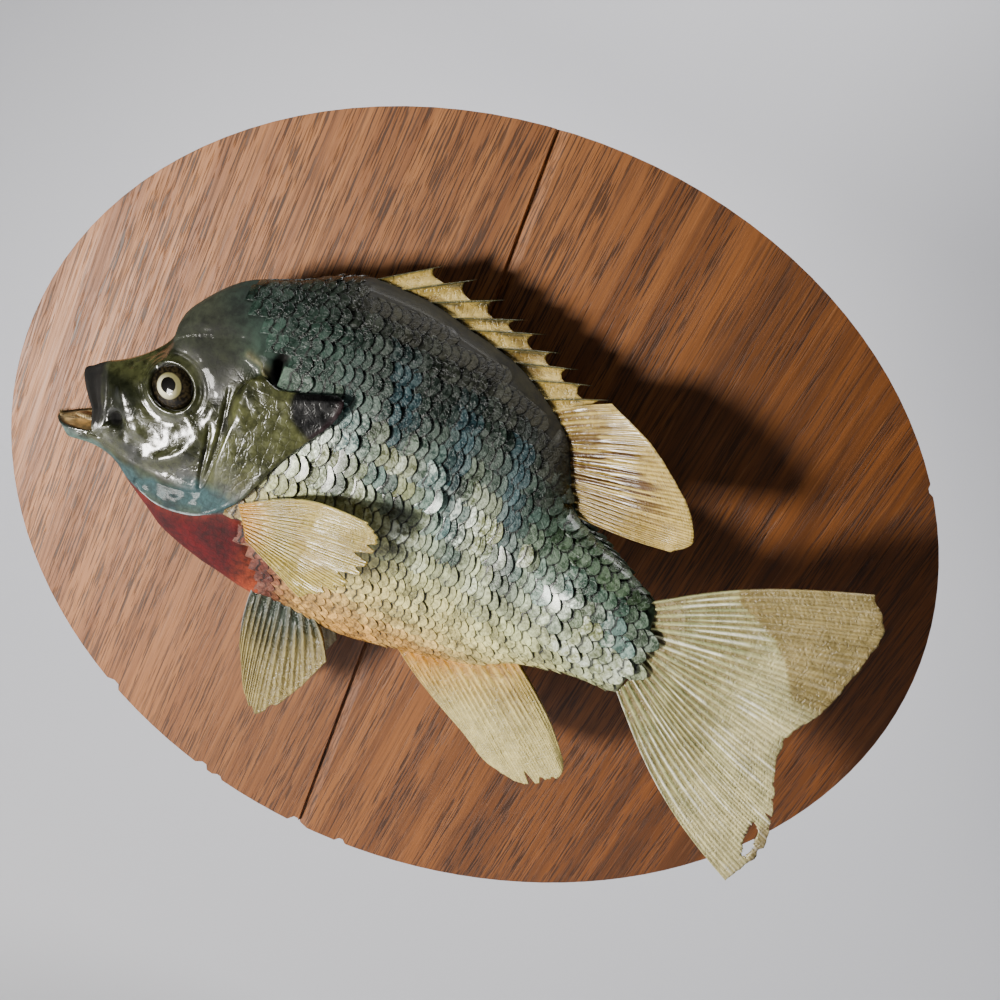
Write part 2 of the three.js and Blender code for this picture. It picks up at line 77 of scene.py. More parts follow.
def smooth(xs, ys, x):
    """Value at x of a line through the rows (xs, ys) that never overshoots them.

    Cubic pieces whose slope at a row is the harmonic mean of the slopes beside it, or zero at a turn.
    """
    xs, ys = np.asarray(xs, float), np.asarray(ys, float)
    rise = np.diff(ys) / np.diff(xs)
    before, after = rise[:-1], rise[1:]
    turns = before * after <= 0
    inner = np.where(turns, 0, 2 * before * after / np.where(turns, 1, before + after))
    slope = np.concatenate([rise[:1], inner, rise[-1:]])
    x = np.clip(x, xs[0], xs[-1])
    i = np.clip(np.searchsorted(xs, x) - 1, 0, len(xs) - 2)
    h = xs[i + 1] - xs[i]
    t = (x - xs[i]) / h
    blend = ys[i] * (1 + 2 * t) * (1 - t) ** 2 + ys[i + 1] * t * t * (3 - 2 * t)
    return blend + h * (slope[i] * t * (1 - t) ** 2 - slope[i + 1] * t * t * (1 - t))


def along(points, u):
    """Point at share u of the smooth line through evenly spaced points, one value for each axis."""
    points = np.asarray(points, float)
    rows = np.arange(len(points))
    u = np.asarray(u, float) * (len(points) - 1)
    return np.stack([smooth(rows, points[:, axis], u) for axis in range(points.shape[1])], -1)


def rise(x, low, high):
    """0 below low, 1 above high, and the smooth cubic 3t2 - 2t3 between."""
    t = np.clip((x - low) / (high - low), 0, 1)
    return t * t * (3 - 2 * t)


def hill(distance, width):
    """Bell exp(-(distance / width)^2)."""
    return np.exp(-((distance / width) ** 2))


def mix(a, b, share):
    """a where share is 0, b where it is 1, in a straight line between, for colours or points."""
    share = np.asarray(share)[..., None]
    return np.asarray(a) * (1 - share) + np.asarray(b) * share


def straight(rows, x):
    """Value at x of straight lines through rows of (x, value), held beyond the ends."""
    return np.interp(x, rows[:, 0], rows[:, 1])


def bell(x, z, centre, width):
    """Bell round a centre (x, z)."""
    return hill(np.hypot(x - centre[0], z - centre[1]), width)


def on_plane(a, b):
    """Points (a, b, 0), at which the noise fields are read."""
    return np.stack([a, b, np.zeros_like(a)], -1)


def noise(points, size, seed=0):
    """Smooth random field from 0 to 1: random values on a cubic lattice, joined by 3t2 - 2t3."""
    table = np.random.default_rng(seed).random(NOISE_TABLE)
    place = np.asarray(points, float) / size
    cell = np.floor(place).astype(np.int64)
    t = place - cell
    t = t * t * (3 - 2 * t)
    total = np.zeros(place.shape[:-1])
    for corner in range(8):
        bits = np.array([corner & 1, corner >> 1 & 1, corner >> 2 & 1])
        at = cell + bits
        key = np.bitwise_xor.reduce(at * NOISE_PRIMES, axis=-1)
        total += table[key & NOISE_TABLE - 1] * np.prod(np.where(bits, t, 1 - t), -1)
    return total


def layered(points, size, seed=0, layers=3):
    """Sum of noise fields, each of half the size and half the strength of the one before."""
    total = sum(noise(points, size / 2**i, seed + i) / 2**i for i in range(layers))
    return total / sum(1 / 2**i for i in range(layers))


def line_distance(x, z, line, samples=80):
    """Distance from (x, z) to a smooth line, its share along that line, and which side it lies on."""
    path = along(line, np.linspace(0, 1, samples))
    step = np.gradient(path, axis=0)
    flat_x, flat_z = np.ravel(x), np.ravel(z)
    nearest = np.empty(len(flat_x), int)
    batch = 20000  # points at a time, to bound the memory
    for start in range(0, len(flat_x), batch):
        part = slice(start, start + batch)
        gap = (flat_x[part, None] - path[:, 0]) ** 2 + (flat_z[part, None] - path[:, 1]) ** 2
        nearest[part] = gap.argmin(1)
    dx, dz = flat_x - path[nearest, 0], flat_z - path[nearest, 1]
    tangent = step[nearest] / np.linalg.norm(step[nearest], axis=1)[:, None]
    offset = tangent[:, 0] * dz - tangent[:, 1] * dx
    inside = (nearest > 0) & (nearest < samples - 1)
    distance = np.where(inside, np.abs(offset), np.hypot(dx, dz))
    share = nearest / (samples - 1)
    shape = np.shape(x)
    return distance.reshape(shape), share.reshape(shape), np.sign(offset).reshape(shape)


def inside_outline(x, z, outline):
    """True where (x, z) lies in a closed outline, by counting the edges crossed to its right."""
    inside = np.zeros(np.shape(x), bool)
    for (ax, az), (bx, bz) in zip(outline, outline[1:] + outline[:1]):
        crosses = (az > z) != (bz > z)
        at = ax + (z - az) * (bx - ax) / (bz - az if bz != az else 1)
        inside ^= crosses & (x < at)
    return inside


# ------------------------------------------------------------------ the fish's shape

# Height of the fish's middle sheet over the board: x, height.
SHEET = np.array([
    (-110, 22.0), (-85, 19.6), (-60, 17.0), (-38, 15.4), (-14, 15.4), (0, 16.8),
    (14, 21.0), (28, 27.5), (42, 33.0), (60, 39.5), (75, 44.0), (92, 48.0),
])

# Stations from lips to tail root: top x, z, bottom x, z, side x, z, half width, fullness.
STATIONS = np.array([
    (-101.5, 11.8, -104.4, -1.2, -95.2, 2.8, 4.5, 2.0),  # lips
    (-98.2, 14.8, -100.4, -4.8, -93.8, 3.2, 5.6, 2.1),  # jaws
    (-94.0, 17.4, -94.2, -5.2, -91.6, 5.0, 6.6, 2.2),  # snout
    (-89.8, 20.8, -89.8, -6.4, -89.8, 6.6, 7.6, 2.3),  # brow
    (-85.2, 26.9, -85.2, -10.0, -85.2, 8.0, 8.8, 2.4),  # eye
    (-83.6, 34.0, -83.6, -11.4, -83.6, 8.6, 9.2, 2.4),  # nape foot
    (-79.0, 41.0, -79.0, -15.0, -79.0, 9.6, 10.4, 2.3),  # nape
    (-73.0, 46.4, -73.0, -19.8, -73.0, 10.6, 11.9, 2.2),  # cheek
    (-65.4, 50.2, -65.4, -23.2, -65.4, 11.4, 13.3, 2.1),  # crest
    (-57.0, 54.4, -57.0, -25.8, -57.0, 12.4, 14.4, 2.05),  # gill
    (-48.0, 58.3, -48.0, -28.1, -48.0, 13.4, 15.1, 2.0),  # dorsal root
    (-36.0, 58.5, -36.0, -29.8, -36.0, 13.8, 15.4, 1.95),  # back
    (-24.0, 56.6, -24.0, -30.3, -24.0, 14.0, 15.2, 1.95),  # belly
    (-12.0, 54.2, -12.0, -28.6, -12.0, 14.0, 14.4, 1.95),  # vent
    (0.0, 48.7, 0.0, -25.6, 0.0, 13.4, 13.3, 1.95),  # flank
    (8.0, 43.2, 8.0, -22.8, 8.0, 12.4, 12.2, 1.95),  # soft dorsal
    (13.6, 33.2, 13.6, -19.6, 13.6, 11.2, 11.0, 2.0),  # saddle
    (20.0, 26.6, 20.0, -14.6, 20.0, 9.8, 9.6, 2.0),  # stalk front
    (28.0, 25.0, 28.0, -9.9, 28.0, 8.4, 8.0, 2.0),  # stalk
    (36.0, 21.9, 36.0, -7.4, 36.0, 7.4, 6.0, 2.0),  # stalk rear
    (42.2, 19.4, 43.4, -6.2, 44.2, 7.0, 3.6, 2.0),  # tail root
])
LAST = len(STATIONS) - 1
ROWS = np.arange(LAST + 1)
UPRIGHT = 3  # the brow: the first station that is one upright slice
THROAT_BACK = np.array([-88.6, 0.0, 4.4])  # where the mouth's lining closes
ROOT_END = 1.2  # how far the flesh is domed past the last station


def height_at(x):
    """Height of the fish's middle sheet over the board's front at x."""
    return smooth(SHEET[:, 0], SHEET[:, 1], x)


def bend(flat):
    """Flat points (x, side, z) laid over the board: side is measured square to the middle sheet."""
    x, side, z = flat[..., 0], flat[..., 1], flat[..., 2]
    slope = height_at(x + 0.5) - height_at(x - 0.5)
    n = 1 / np.hypot(1, slope)
    off = np.maximum(GAP, height_at(x) + side * n)
    return np.stack([x - side * slope * n, -(BOARD_THICK + off), z], -1)


def section(s):
    """The eight measures of the fish at station s."""
    return [smooth(ROWS, column, s) for column in STATIONS.T]


def body(s, angle):
    """Flat point of the fish at station s and ring angle: a superellipse quarter to each side.

    Up the ring it goes from the side point towards the top point by |sin|^(2 / fullness), and out
    from the middle by half width |cos|^(2 / fullness).
    """
    top_x, top_z, low_x, low_z, side_x, side_z, half, full = section(s)
    up, out = np.sin(angle), np.cos(angle)
    end_x, end_z = np.where(up > 0, top_x, low_x), np.where(up > 0, top_z, low_z)
    reach = np.abs(up) ** (2 / full)
    width = np.sign(out) * half * np.abs(out) ** (2 / full)
    return np.stack([side_x + (end_x - side_x) * reach, width, side_z + (end_z - side_z) * reach], -1)


def station_at(x):
    """Station whose slice stands at x, behind the brow."""
    fine = np.linspace(UPRIGHT, LAST, 2000)
    return np.interp(x, smooth(ROWS, STATIONS[:, 4], fine), fine)


def half_width(x, z):
    """Half width of the body at x and z behind the brow."""
    _, top, _, low, _, side, half, full = section(station_at(x))
    reach = np.where(z > side, (z - side) / (top - side), (side - z) / (side - low))
    return half * (1 - np.clip(reach, 0, 0.9999) ** full) ** (1 / full)


def normals_of(grid):
    """Unit normals of a grid of points, from the cross product of its two gradients."""
    normal = np.cross(np.gradient(grid, axis=0), np.gradient(grid, axis=1))
    return normal / np.maximum(np.linalg.norm(normal, axis=-1, keepdims=True), 1e-9)


# ------------------------------------------------------------------ meshes


def grid_faces(rows, columns, closed=False):
    """Quads of a grid of points held row by row; closed joins the last column to the first."""
    r, c = np.meshgrid(np.arange(rows - 1), np.arange(columns - (not closed)), indexing="ij")
    a, b = r * columns + c, r * columns + (c + 1) % columns
    return np.stack([a, b, b + columns, a + columns], -1).reshape(-1, 4)


def volume(points, faces):
    """Signed volume of a closed mesh: a sixth of each fan triangle's triple product, summed."""
    total = 0.0
    for group in faces:
        for k in range(1, group.shape[1] - 1):
            a, b, c = points[group[:, 0]], points[group[:, k]], points[group[:, k + 1]]
            total += np.einsum("ij,ij->", a, np.cross(b, c)) / 6
    return total


def join(*parts):
    """Several sets of points, face groups and per-point values joined into one."""
    points, faces, values, start = [], [], {}, 0
    for part_points, part_faces, part_values in parts:
        points.append(part_points)
        faces += [group + start for group in part_faces]
        for key, value in part_values.items():
            values.setdefault(key, []).append(value)
        start += len(part_points)
    return np.concatenate(points), faces, {k: np.concatenate(v) for k, v in values.items()}


def outward(points, faces, sample=None):
    """The face groups, each turned round if the mesh, or one closed sample of it, is inside out."""
    return faces if volume(points, sample or faces) > 0 else [group[:, ::-1] for group in faces]


def place_object(name, data):
    """A new object in the scene, from a mesh, lamp or camera."""
    made = bpy.data.objects.new(name, data)
    bpy.context.scene.collection.objects.link(made)
    return made


def make_piece(name, points, faces, values, nodes, material, crisp=()):
    """Mesh object from millimetre points, face groups and per-point values.

    A value with 3 columns is a colour, one with 2 columns is a UV map, and one with 1 is a mask. The
    face groups numbered in crisp are shaded flat, and all others smooth.
    """
    mesh = bpy.data.meshes.new(name)
    mesh.vertices.add(len(points))
    mesh.vertices.foreach_set("co", (points * MM).ravel())
    loops = np.concatenate([group.ravel() for group in faces])
    sizes = np.concatenate([np.full(len(group), group.shape[1]) for group in faces])
    mesh.loops.add(len(loops))
    mesh.loops.foreach_set("vertex_index", loops.astype(np.int32))
    mesh.polygons.add(len(sizes))
    mesh.polygons.foreach_set("loop_start", (np.cumsum(sizes) - sizes).astype(np.int32))
    mesh.polygons.foreach_set("loop_total", sizes.astype(np.int32))
    mesh.update(calc_edges=True)
    rounded = np.concatenate([np.full(len(group), i not in crisp) for i, group in enumerate(faces)])
    mesh.polygons.foreach_set("use_smooth", rounded)
    for key, value in values.items():
        if value.ndim == 1:
            layer = mesh.attributes.new(key, "FLOAT", "POINT")
            layer.data.foreach_set("value", value.astype(np.float32))
        elif value.shape[1] == 3:
            layer = mesh.attributes.new(key, "FLOAT_COLOR", "POINT")
            rgba = np.concatenate([value, np.ones((len(value), 1))], 1)
            layer.data.foreach_set("color", rgba.astype(np.float32).ravel())
        else:
            layer = mesh.uv_layers.new(name=key)
            layer.data.foreach_set("uv", value[loops].astype(np.float32).ravel())
    mesh.materials.append(material)
    piece = place_object(name, mesh)
    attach(piece, "root")
    if nodes:
        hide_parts(*nodes)


def sheet_between(front, back, keep, values):
    """Closed thin sheet between two grids of points, without the cells where keep is False.

    Each kept cell has a face on both grids, and a wall stands wherever the cell beside it is left
    out or the grid ends.
    """
    rows, columns = front.shape[:2]
    index = np.arange(rows * columns).reshape(rows, columns)
    far = rows * columns
    cell = np.stack([index[:-1, :-1], index[:-1, 1:], index[1:, 1:], index[1:, :-1]], -1)
    faces = [cell[keep], cell[keep][:, ::-1] + far]
    padded = np.pad(keep, 1)
    for side, (row_step, column_step) in enumerate(((-1, 0), (0, 1), (1, 0), (0, -1))):
        beside = padded[1 + row_step:rows + row_step, 1 + column_step:columns + column_step]
        open_edge = keep & ~beside
        a, b = cell[open_edge][:, side], cell[open_edge][:, (side + 1) % 4]
        faces.append(np.stack([b, a, a + far, b + far], -1))
    points = np.concatenate([front.reshape(-1, 3), back.reshape(-1, 3)])
    faces = [group for group in faces if len(group)]
    doubled = {}
    for key, value in values.items():
        flat = value.reshape(rows * columns, *value.shape[2:])
        doubled[key] = np.concatenate([flat, flat])
    used = np.unique(np.concatenate([group.ravel() for group in faces]))
    renumber = np.zeros(2 * far, int)
    renumber[used] = np.arange(len(used))
    faces = [renumber[group] for group in faces]
    points = points[used]
    return points, outward(points, faces), {k: v[used] for k, v in doubled.items()}


# ------------------------------------------------------------------ the fish's markings


VIVID = 1.25  # how far a colour is drawn away from grey
BLACKEST = 0.0015  # the least light that any paint gives back


def paint(*bytes_):
    """Linear colour from three sRGB bytes, drawn away from grey by a quarter, as soft tones pale it."""
    value = np.array(bytes_) / 255
    linear = np.where(value <= 0.04045, value / 12.92, ((value + 0.055) / 1.055) ** 2.4)
    return np.maximum(linear.mean() + VIVID * (linear - linear.mean()), BLACKEST)


# Flank colours by height over the back line in millimetres.
FLANK_RAMP = [
    (-46, paint(196, 160, 104)), (-38, paint(200, 184, 128)), (-30, paint(190, 184, 134)),
    (-22, paint(172, 176, 134)), (-15, paint(158, 166, 134)), (-8, paint(118, 131, 108)),
    (-3, paint(82, 97, 84)), (2, paint(54, 70, 62)), (9, paint(38, 50, 44)),
    (16, paint(29, 37, 32)), (26, paint(25, 28, 23)), (40, paint(25, 27, 22)),
]
BACK_LINE = np.array([
    (-66, 34.0), (-55, 31.5), (-45, 29.5), (-25, 27.0), (-10, 24.5), (5, 23.0), (15, 21.0),
    (27, 17.6), (45, 15.5),
])
TEAL = paint(44, 62, 54)
BAR_BLUE = paint(36, 58, 66)
GREEN = paint(62, 78, 46)
WASH_TEAL = paint(74, 112, 116)
WASH_GOLD = paint(164, 166, 112)
DORSAL_BROWN = paint(42, 40, 31)
ORANGE = paint(188, 140, 80)
OLIVE = paint(52, 54, 36)
OLIVE_DARK = paint(27, 29, 20)
GILL_OLIVE = paint(74, 76, 52)
GILL_BLUE = paint(54, 72, 74)
RIM_WHITE = paint(200, 212, 214)
NAPE_GREY = paint(38, 41, 32)
# Black of the jaws and the mouth, also painted as shade into the eye's socket.
JAW_BLACK_AND_SOCKET_SHADE = paint(17, 15, 12)
LIP_GREEN = paint(92, 108, 100)
THROAT_RED = paint(70, 21, 23)
THROAT_PINK = paint(124, 62, 46)
PEACH = paint(180, 146, 100)
BONE_PALE = paint(100, 96, 72)
FLAP_BLACK = paint(5, 4, 5)
FLAP_MAUVE = paint(44, 32, 34)
# Near black painted into grooves, cracks, pits, the mouth's corner, the nostrils and the back of the mouth:
# painted shade.
SHADE_BLACK = paint(10, 9, 7)
LINING = paint(190, 166, 126)


BARS = {"apart": 15.5, "lean": 0.4, "first": -24.0}


def over_back_line(x, z):
    """Height of (x, z) over the line along which the dark back meets the flank."""
    return z - smooth(BACK_LINE[:, 0], BACK_LINE[:, 1], x)


def flank_marking(x, z):
    """Colour of the body: a ramp down from the back line, with leaning bars, teal and belly tints."""
    spots = on_plane(x, z)
    over = over_back_line(x, z) + 5 * (layered(spots, 9.0, 3) - 0.5)
    heights = np.array([row[0] for row in FLANK_RAMP])
    colours = np.array([row[1] for row in FLANK_RAMP])
    colour = np.stack([np.interp(over, heights, colours[:, k]) for k in range(3)], -1)
    lean = x + BARS["lean"] * (z - 20) + 4 * (noise(spots, 22, 5) - 0.5)
    bar = 0.5 + 0.5 * np.cos(2 * np.pi * (lean - BARS["first"]) / BARS["apart"])
    middle = rise(over, -26, -10) * (1 - rise(over, 12, 22)) * rise(x, -48, -36) * (1 - rise(x, 14, 24))
    colour = mix(colour, BAR_BLUE, 0.74 * middle * rise(bar, 0.35, 0.95))
    front_teal = rise(over, -2, 6) * (1 - rise(over, 12, 20)) * (1 - rise(x, -50, -34)) * rise(x, -61, -52)
    colour = mix(colour, TEAL, 0.5 * front_teal)
    pool = layered(on_plane(x + 0.4 * z, 0.8 * z), 7.0, 17)
    wash = hill(over + 7, 9) * rise(x, -50, -40)
    colour = mix(colour, WASH_TEAL, 0.6 * wash * rise(pool, 0.5, 0.7))
    colour = mix(colour, WASH_GOLD, 0.5 * wash * (1 - rise(pool, 0.3, 0.46)))
    stalk_green = hill(over - 3, 6) * rise(x, 8, 20)
    colour = mix(colour, GREEN, 0.55 * stalk_green)
    colour = mix(colour, DORSAL_BROWN, 0.85 * under_dorsal(x, z))
    belly = (1 - rise(z, -26, -17)) * (1 - rise(x, 4, 20)) * rise(x, -46, -34)
    return mix(colour, ORANGE, 0.75 * belly * rise(layered(spots, 6.0, 8), 0.25, 0.5))


THROAT_REAR = [(-51.5, -2.0), (-52.5, -7.0), (-50.0, -13.0), (-46.7, -17.7), (-43.0, -30.0)]
CHEEK_EDGE = [
    (-67.3, -1.2), (-70.0, -2.5), (-74.5, -3.3), (-79.6, -3.6), (-84.2, -3.4), (-88.2, -2.8),
    (-92.0, -1.6),
]


# Line below which the cheek is blue, and upper edge of the red throat: x, z.
BLUE_LINE = np.array([
    (-104, -1.6), (-92, -3.4), (-84, -5.0), (-76, -3.4), (-70, -1.0), (-64, 1.5), (-55, 4.0),
])
RED_LINE = np.array([
    (-104, -4.6), (-93, -6.6), (-88, -7.2), (-81.4, -9.6), (-75.6, -10.4), (-68.1, -9.2), (-60, -4.5),
])


def on_nape(x, z):
    """Share of the grey nape, above a line that climbs towards the tail."""
    return rise(z - 0.25 * (x + 76), 24.5, 32)


def head_marking(x, z):
    """Colour of the head: olive plates, blue under the cheek, grey nape, red throat."""
    spots = on_plane(x, z)
    patch = layered(spots, 6.0, 11)
    colour = mix(OLIVE, OLIVE_DARK, rise(patch, 0.4, 0.7))
    colour = mix(colour, GILL_OLIVE, rise(x, -71, -64) * (1 - rise(z, 22, 31)))
    colour = mix(colour, NAPE_GREY, on_nape(x, z))
    below = rise(straight(BLUE_LINE, x) - z + 5.5 * (patch - 0.5), -2.0, 1.6)
    colour = mix(colour, GILL_BLUE, below)
    chin = below * (1 - rise(x, -98, -86))
    colour = mix(colour, LIP_GREEN, 0.7 * chin)
    under_line = straight(RED_LINE, x) - z
    throat = rise(under_line, -0.3, 0.7)
    red = mix(THROAT_RED, THROAT_PINK, rise(x, -57, -47) + 0.25 * hill(under_line, 2.0))
    colour = mix(colour, flank_marking(x, z) * 0.65, rise(coat_line(x, z), -16, 0) * rise(z, 27, 34))
    return mix(colour, red, throat)


# ------------------------------------------------------------------ the skin

COAT = 0.75  # depth of the coat of scales over the skin
EYE = {"x": -80.5, "z": 18.5, "radius": 5.3, "sink": 0.9, "bulge": 2.1, "back": 2.0, "forward": 12, "up": 6}

# Front edge of the coat of scales: z, x.
SCALE_LINE = np.array([
    (-35, -42.5), (-22, -45.5), (-17.7, -47.0), (-9.3, -53.5), (-5, -55.0), (0, -60.5), (12, -58.5),
    (21, -56.0), (27.5, -56.0), (30.5, -57.0), (34, -58.6), (36.5, -61.4), (39, -63.6), (41.5, -66.8),
    (45.4, -70.6), (52, -73.0),
])
PREOPERCLE = [(-68.3, 23.8), (-67.6, 19.3), (-66.8, 12.6), (-66.6, 5.0), (-67.3, -1.2)]
INNER_GROOVE = [(-69.9, 14.2), (-69.0, 10.0), (-68.4, 5.0), (-67.7, -0.6)]
MAXILLA = [(-98.6, 15.6), (-95.9, 12.9), (-94.2, 8.2), (-93.2, 3.2)]
CHEEK_ROLL = [(-81.6, -0.6), (-77.9, 1.3), (-73.9, 4.9), (-71.5, 10.2)]
LACHRYMAL = [(-91.8, 15.2), (-90.6, 12.0), (-88.6, 9.4)]
NAPE_FOLD = [(-85.0, 27.4), (-80.5, 31.0), (-75.0, 33.4), (-68.0, 36.2), (-62.5, 35.2)]
GILL_PIT = [(-59.6, 35.4), (-60.1, 33.6), (-59.9, 31.6), (-59.0, 29.9), (-57.6, 28.8)]
CURL_BONE = [(-66.6, 33.1), (-64.8, 32.8), (-63.3, 32.6), (-62.2, 31.8), (-61.7, 30.9)]
THROAT_CRACK = [(-52.6, -9.4), (-51.6, -12.2), (-52.2, -14.4), (-49.6, -17.0)]
MOUTH_CORNER = (-90.6, 5.3)
NOSTRILS = [((-91.7, 17.9), 0.55), ((-88.9, 19.6), 0.45)]
CURL_TIP = (-61.7, 31.3)
# Grooves and rolls along lines, each with its height and width.
CREASES = (
    (MAXILLA, -0.35, 0.6), (LACHRYMAL, 0.7, 1.9), (CHEEK_ROLL, 0.75, 1.7), (INNER_GROOVE, -0.7, 0.42),
    (PREOPERCLE, -0.6, 0.5), (GILL_PIT, -3.0, 1.1), (CURL_BONE, 1.9, 1.1), (THROAT_CRACK, -0.7, 0.3),
)
# Lumps and hollows of the head: place, height, width.
LUMPS = (
    (MOUTH_CORNER, -2.2, 1.35), (CURL_TIP, 1.5, 1.0), ((-65.2, 35.0), 0.5, 1.2), ((-85.4, 5.2), 0.6, 2.3),
    ((-74.6, 13.0), 0.45, 2.0), ((-86.8, 1.2), 0.45, 1.9), ((-79.0, 8.2), -0.35, 2.4),
    ((-70.6, 17.6), 0.35, 1.8), ((-87.4, 14.2), -0.3, 1.6),
)
# Front and rear edge of the gill cover, in rows from its top to its lower front end: x, z, x, z.
COVER = np.array([
    (-64.0, 28.8, -62.6, 30.4), (-65.6, 27.4, -57.5, 28.9), (-66.6, 25.8, -50.6, 31.0),
    (-67.2, 24.4, -45.2, 33.1), (-67.4, 23.0, -43.3, 33.0), (-67.6, 21.6, -42.6, 31.0),
    (-67.6, 19.6, -43.6, 27.2), (-67.2, 16.6, -47.0, 21.9), (-66.8, 12.0, -52.4, 12.6),
    (-66.6, 5.0, -57.4, 0.6), (-67.6, -1.4, -62.6, -5.6), (-72.5, -3.4, -68.2, -9.0),
    (-78.0, -4.4, -75.6, -10.2), (-82.6, -6.2, -82.6, -8.4),
])
COVER_FRONT, COVER_REAR = COVER[:, :2].tolist(), COVER[:, 2:].tolist()
FLAP_FRONT = [(-54.4, 31.0), (-54.6, 28.6), (-53.9, 25.9), (-52.2, 23.3), (-48.8, 21.6), (-46.0, 20.4)]


def coat_line(x, z):
    """Distance of (x, z) behind the front edge of the scales, along x."""
    return x - straight(SCALE_LINE, z)


def back_top(x):
    """Height z of the back at x, behind the brow."""
    return smooth(STATIONS[UPRIGHT:, 0], STATIONS[UPRIGHT:, 1], x)


def under_dorsal(x, z):
    """Share of the smooth dull band below the root of the spiny dorsal fin."""
    ragged = 3.0 * (noise(on_plane(x, z), 5.0, 41) - 0.5)
    below = back_top(x) - z + ragged
    return (1 - rise(below, 3.5, 12.5)) * rise(x, -54, -44) * (1 - rise(x, 9, 15))


def coat_depth(x, z):
    """Depth of the coat of scales: it deepens slowly behind the nape, and is thin under the dorsal."""
    slow = 9 * rise(z, 30, 38)
    depth = rise(coat_line(x, z), -2.6 - 0.3 * slow, 1.2 + slow)
    return COAT * depth * (1 - 0.75 * under_dorsal(x, z))


def head_relief(x, z):
    """Height of the head's bones, folds and pits over the plain loft, as a sum of bells and steps."""
    from_eye = np.hypot(x - EYE["x"], z - EYE["z"])
    turn = np.arctan2(z - EYE["z"], x - EYE["x"])
    lumps = layered(on_plane(x, z), 4.2, 21) - 0.5
    head = 1 - rise(coat_line(x, z), -2.5, 0)
    relief = 0.4 * lumps * head
    relief -= 2.4 * (1 - rise(from_eye, 4.5, 5.2))
    relief += 0.55 * hill(from_eye - 5.75, 0.5)
    folds = rise(from_eye, 5.6, 6.6) * (1 - rise(from_eye, 7.6, 9.6))
    strength = 0.55 + 0.45 * np.cos(turn - math.radians(40)) ** 2
    relief += 0.09 * folds * strength * np.cos(2 * np.pi * (from_eye - 5.75) / 1.05 + 2 * lumps)
    relief -= 0.35 * hill(from_eye - 8.2, 1.6)
    for line, height, width in CREASES:
        distance, share, _ = line_distance(x, z, line)
        ends = 0.35 + 0.65 * np.sin(np.pi * np.clip(share, 0.08, 0.92))
        relief += height * ends * hill(distance, width)
    for centre, height, width in LUMPS:
        relief += height * bell(x, z, centre, width)
    for centre, width in NOSTRILS:
        relief -= 0.55 * bell(x, z, centre, width)
    distance, _, side = line_distance(x, z, NAPE_FOLD)
    fold = np.where(side > 0, 0.55 * rise(distance, 0.2, 2.6), -0.3 * hill(distance, 1.8))
    relief += fold * (rise(x, -90, -84) * (1 - rise(coat_line(x, z), -12, -2)))
    distance, _, side = line_distance(x, z, CHEEK_EDGE)
    below = np.where(side < 0, 0.3 * rise(distance, 0.0, 2.6), 0)
    return relief - below * (1 - rise(x, -70, -66)) * rise(z, -12, -8)


def skin_values(flat):
    """Colour, gloss and small-scale masks of the skin at flat points."""
    x, z = flat[..., 0], flat[..., 2]
    scaled = rise(coat_line(x, z), -0.8, 0.6)
    # Painted shade: under the coat of scales the skin is the flank's colour at 0.35 of its brightness.
    colour = mix(head_marking(x, z), flank_marking(x, z) * 0.35, scaled)
    throat = rise(-9.0 - z, -0.5, 1.0) * (line_distance(x, z, THROAT_REAR)[2] < 0)
    # Painted shade: grooves, folds and cracks are painted near black along their lines.
    for line, width, black in (
        (INNER_GROOVE, 0.35, 0.9), (PREOPERCLE, 0.4, 0.7),
        (THROAT_CRACK, 0.3, 0.9), (MAXILLA, 0.35, 0.55),
    ):
        distance, share, _ = line_distance(x, z, line)
        ends = np.sin(np.pi * np.clip(share, 0.1, 0.9))
        colour = mix(colour, SHADE_BLACK, black * hill(distance, width) * ends)
    colour = mix(colour, BONE_PALE, 0.6 * hill(line_distance(x, z, CURL_BONE)[0], 0.8))
    colour = mix(colour, BONE_PALE, 0.9 * bell(x, z, CURL_TIP, 0.9))
    # Painted shadow: the pit above the gill cover is painted near black.
    in_pit = 1 - rise(line_distance(x, z, GILL_PIT)[0], 0.7, 1.5)
    colour = mix(colour, SHADE_BLACK, in_pit)
    # Painted shade in the pit at the mouth's corner, and below in the nostrils.
    corner = 1 - rise(np.hypot(x - MOUTH_CORNER[0], z - MOUTH_CORNER[1]), 0.9, 2.3)
    colour = mix(colour, SHADE_BLACK, 0.95 * corner)
    for centre, width in NOSTRILS:
        colour = mix(colour, SHADE_BLACK, 0.9 * bell(x, z, centre, width))
    from_eye = np.hypot(x - EYE["x"], z - EYE["z"])
    # Painted shade: the socket round the glass eye is painted near black.
    colour = mix(colour, JAW_BLACK_AND_SOCKET_SHADE, 0.85 * (1 - rise(from_eye, 4.8, 5.7)))
    nape = on_nape(x, z) * (1 - scaled)
    gloss = 1 - 0.85 * nape - 0.55 * throat - 0.35 * scaled
    gloss = gloss * (1 - 0.75 * hill(np.hypot(x + 73.5, (z - 27) * 0.8), 6.5)) * (1 - in_pit) * (1 - corner)
    gloss = gloss * (1 - 0.9 * rise(-2.5 - z, -1.0, 1.5) * (1 - scaled))
    small = (1 - scaled) * (rise(x, -71, -66) * (1 - nape) + 0.35 * rise(x, -80, -74) * (1 - nape))
    return colour, np.clip(gloss, 0, 1), np.clip(small, 0, 1)


NEAR_POINTS, FAR_POINTS = 216, 86  # round the side that faces out, and round the one on the board
HEAD_RING, FLANK_RING = 0.35, 1.35  # between the skin's rings, before and behind HEAD_END
HEAD_END = -57
LINING_RINGS = 26


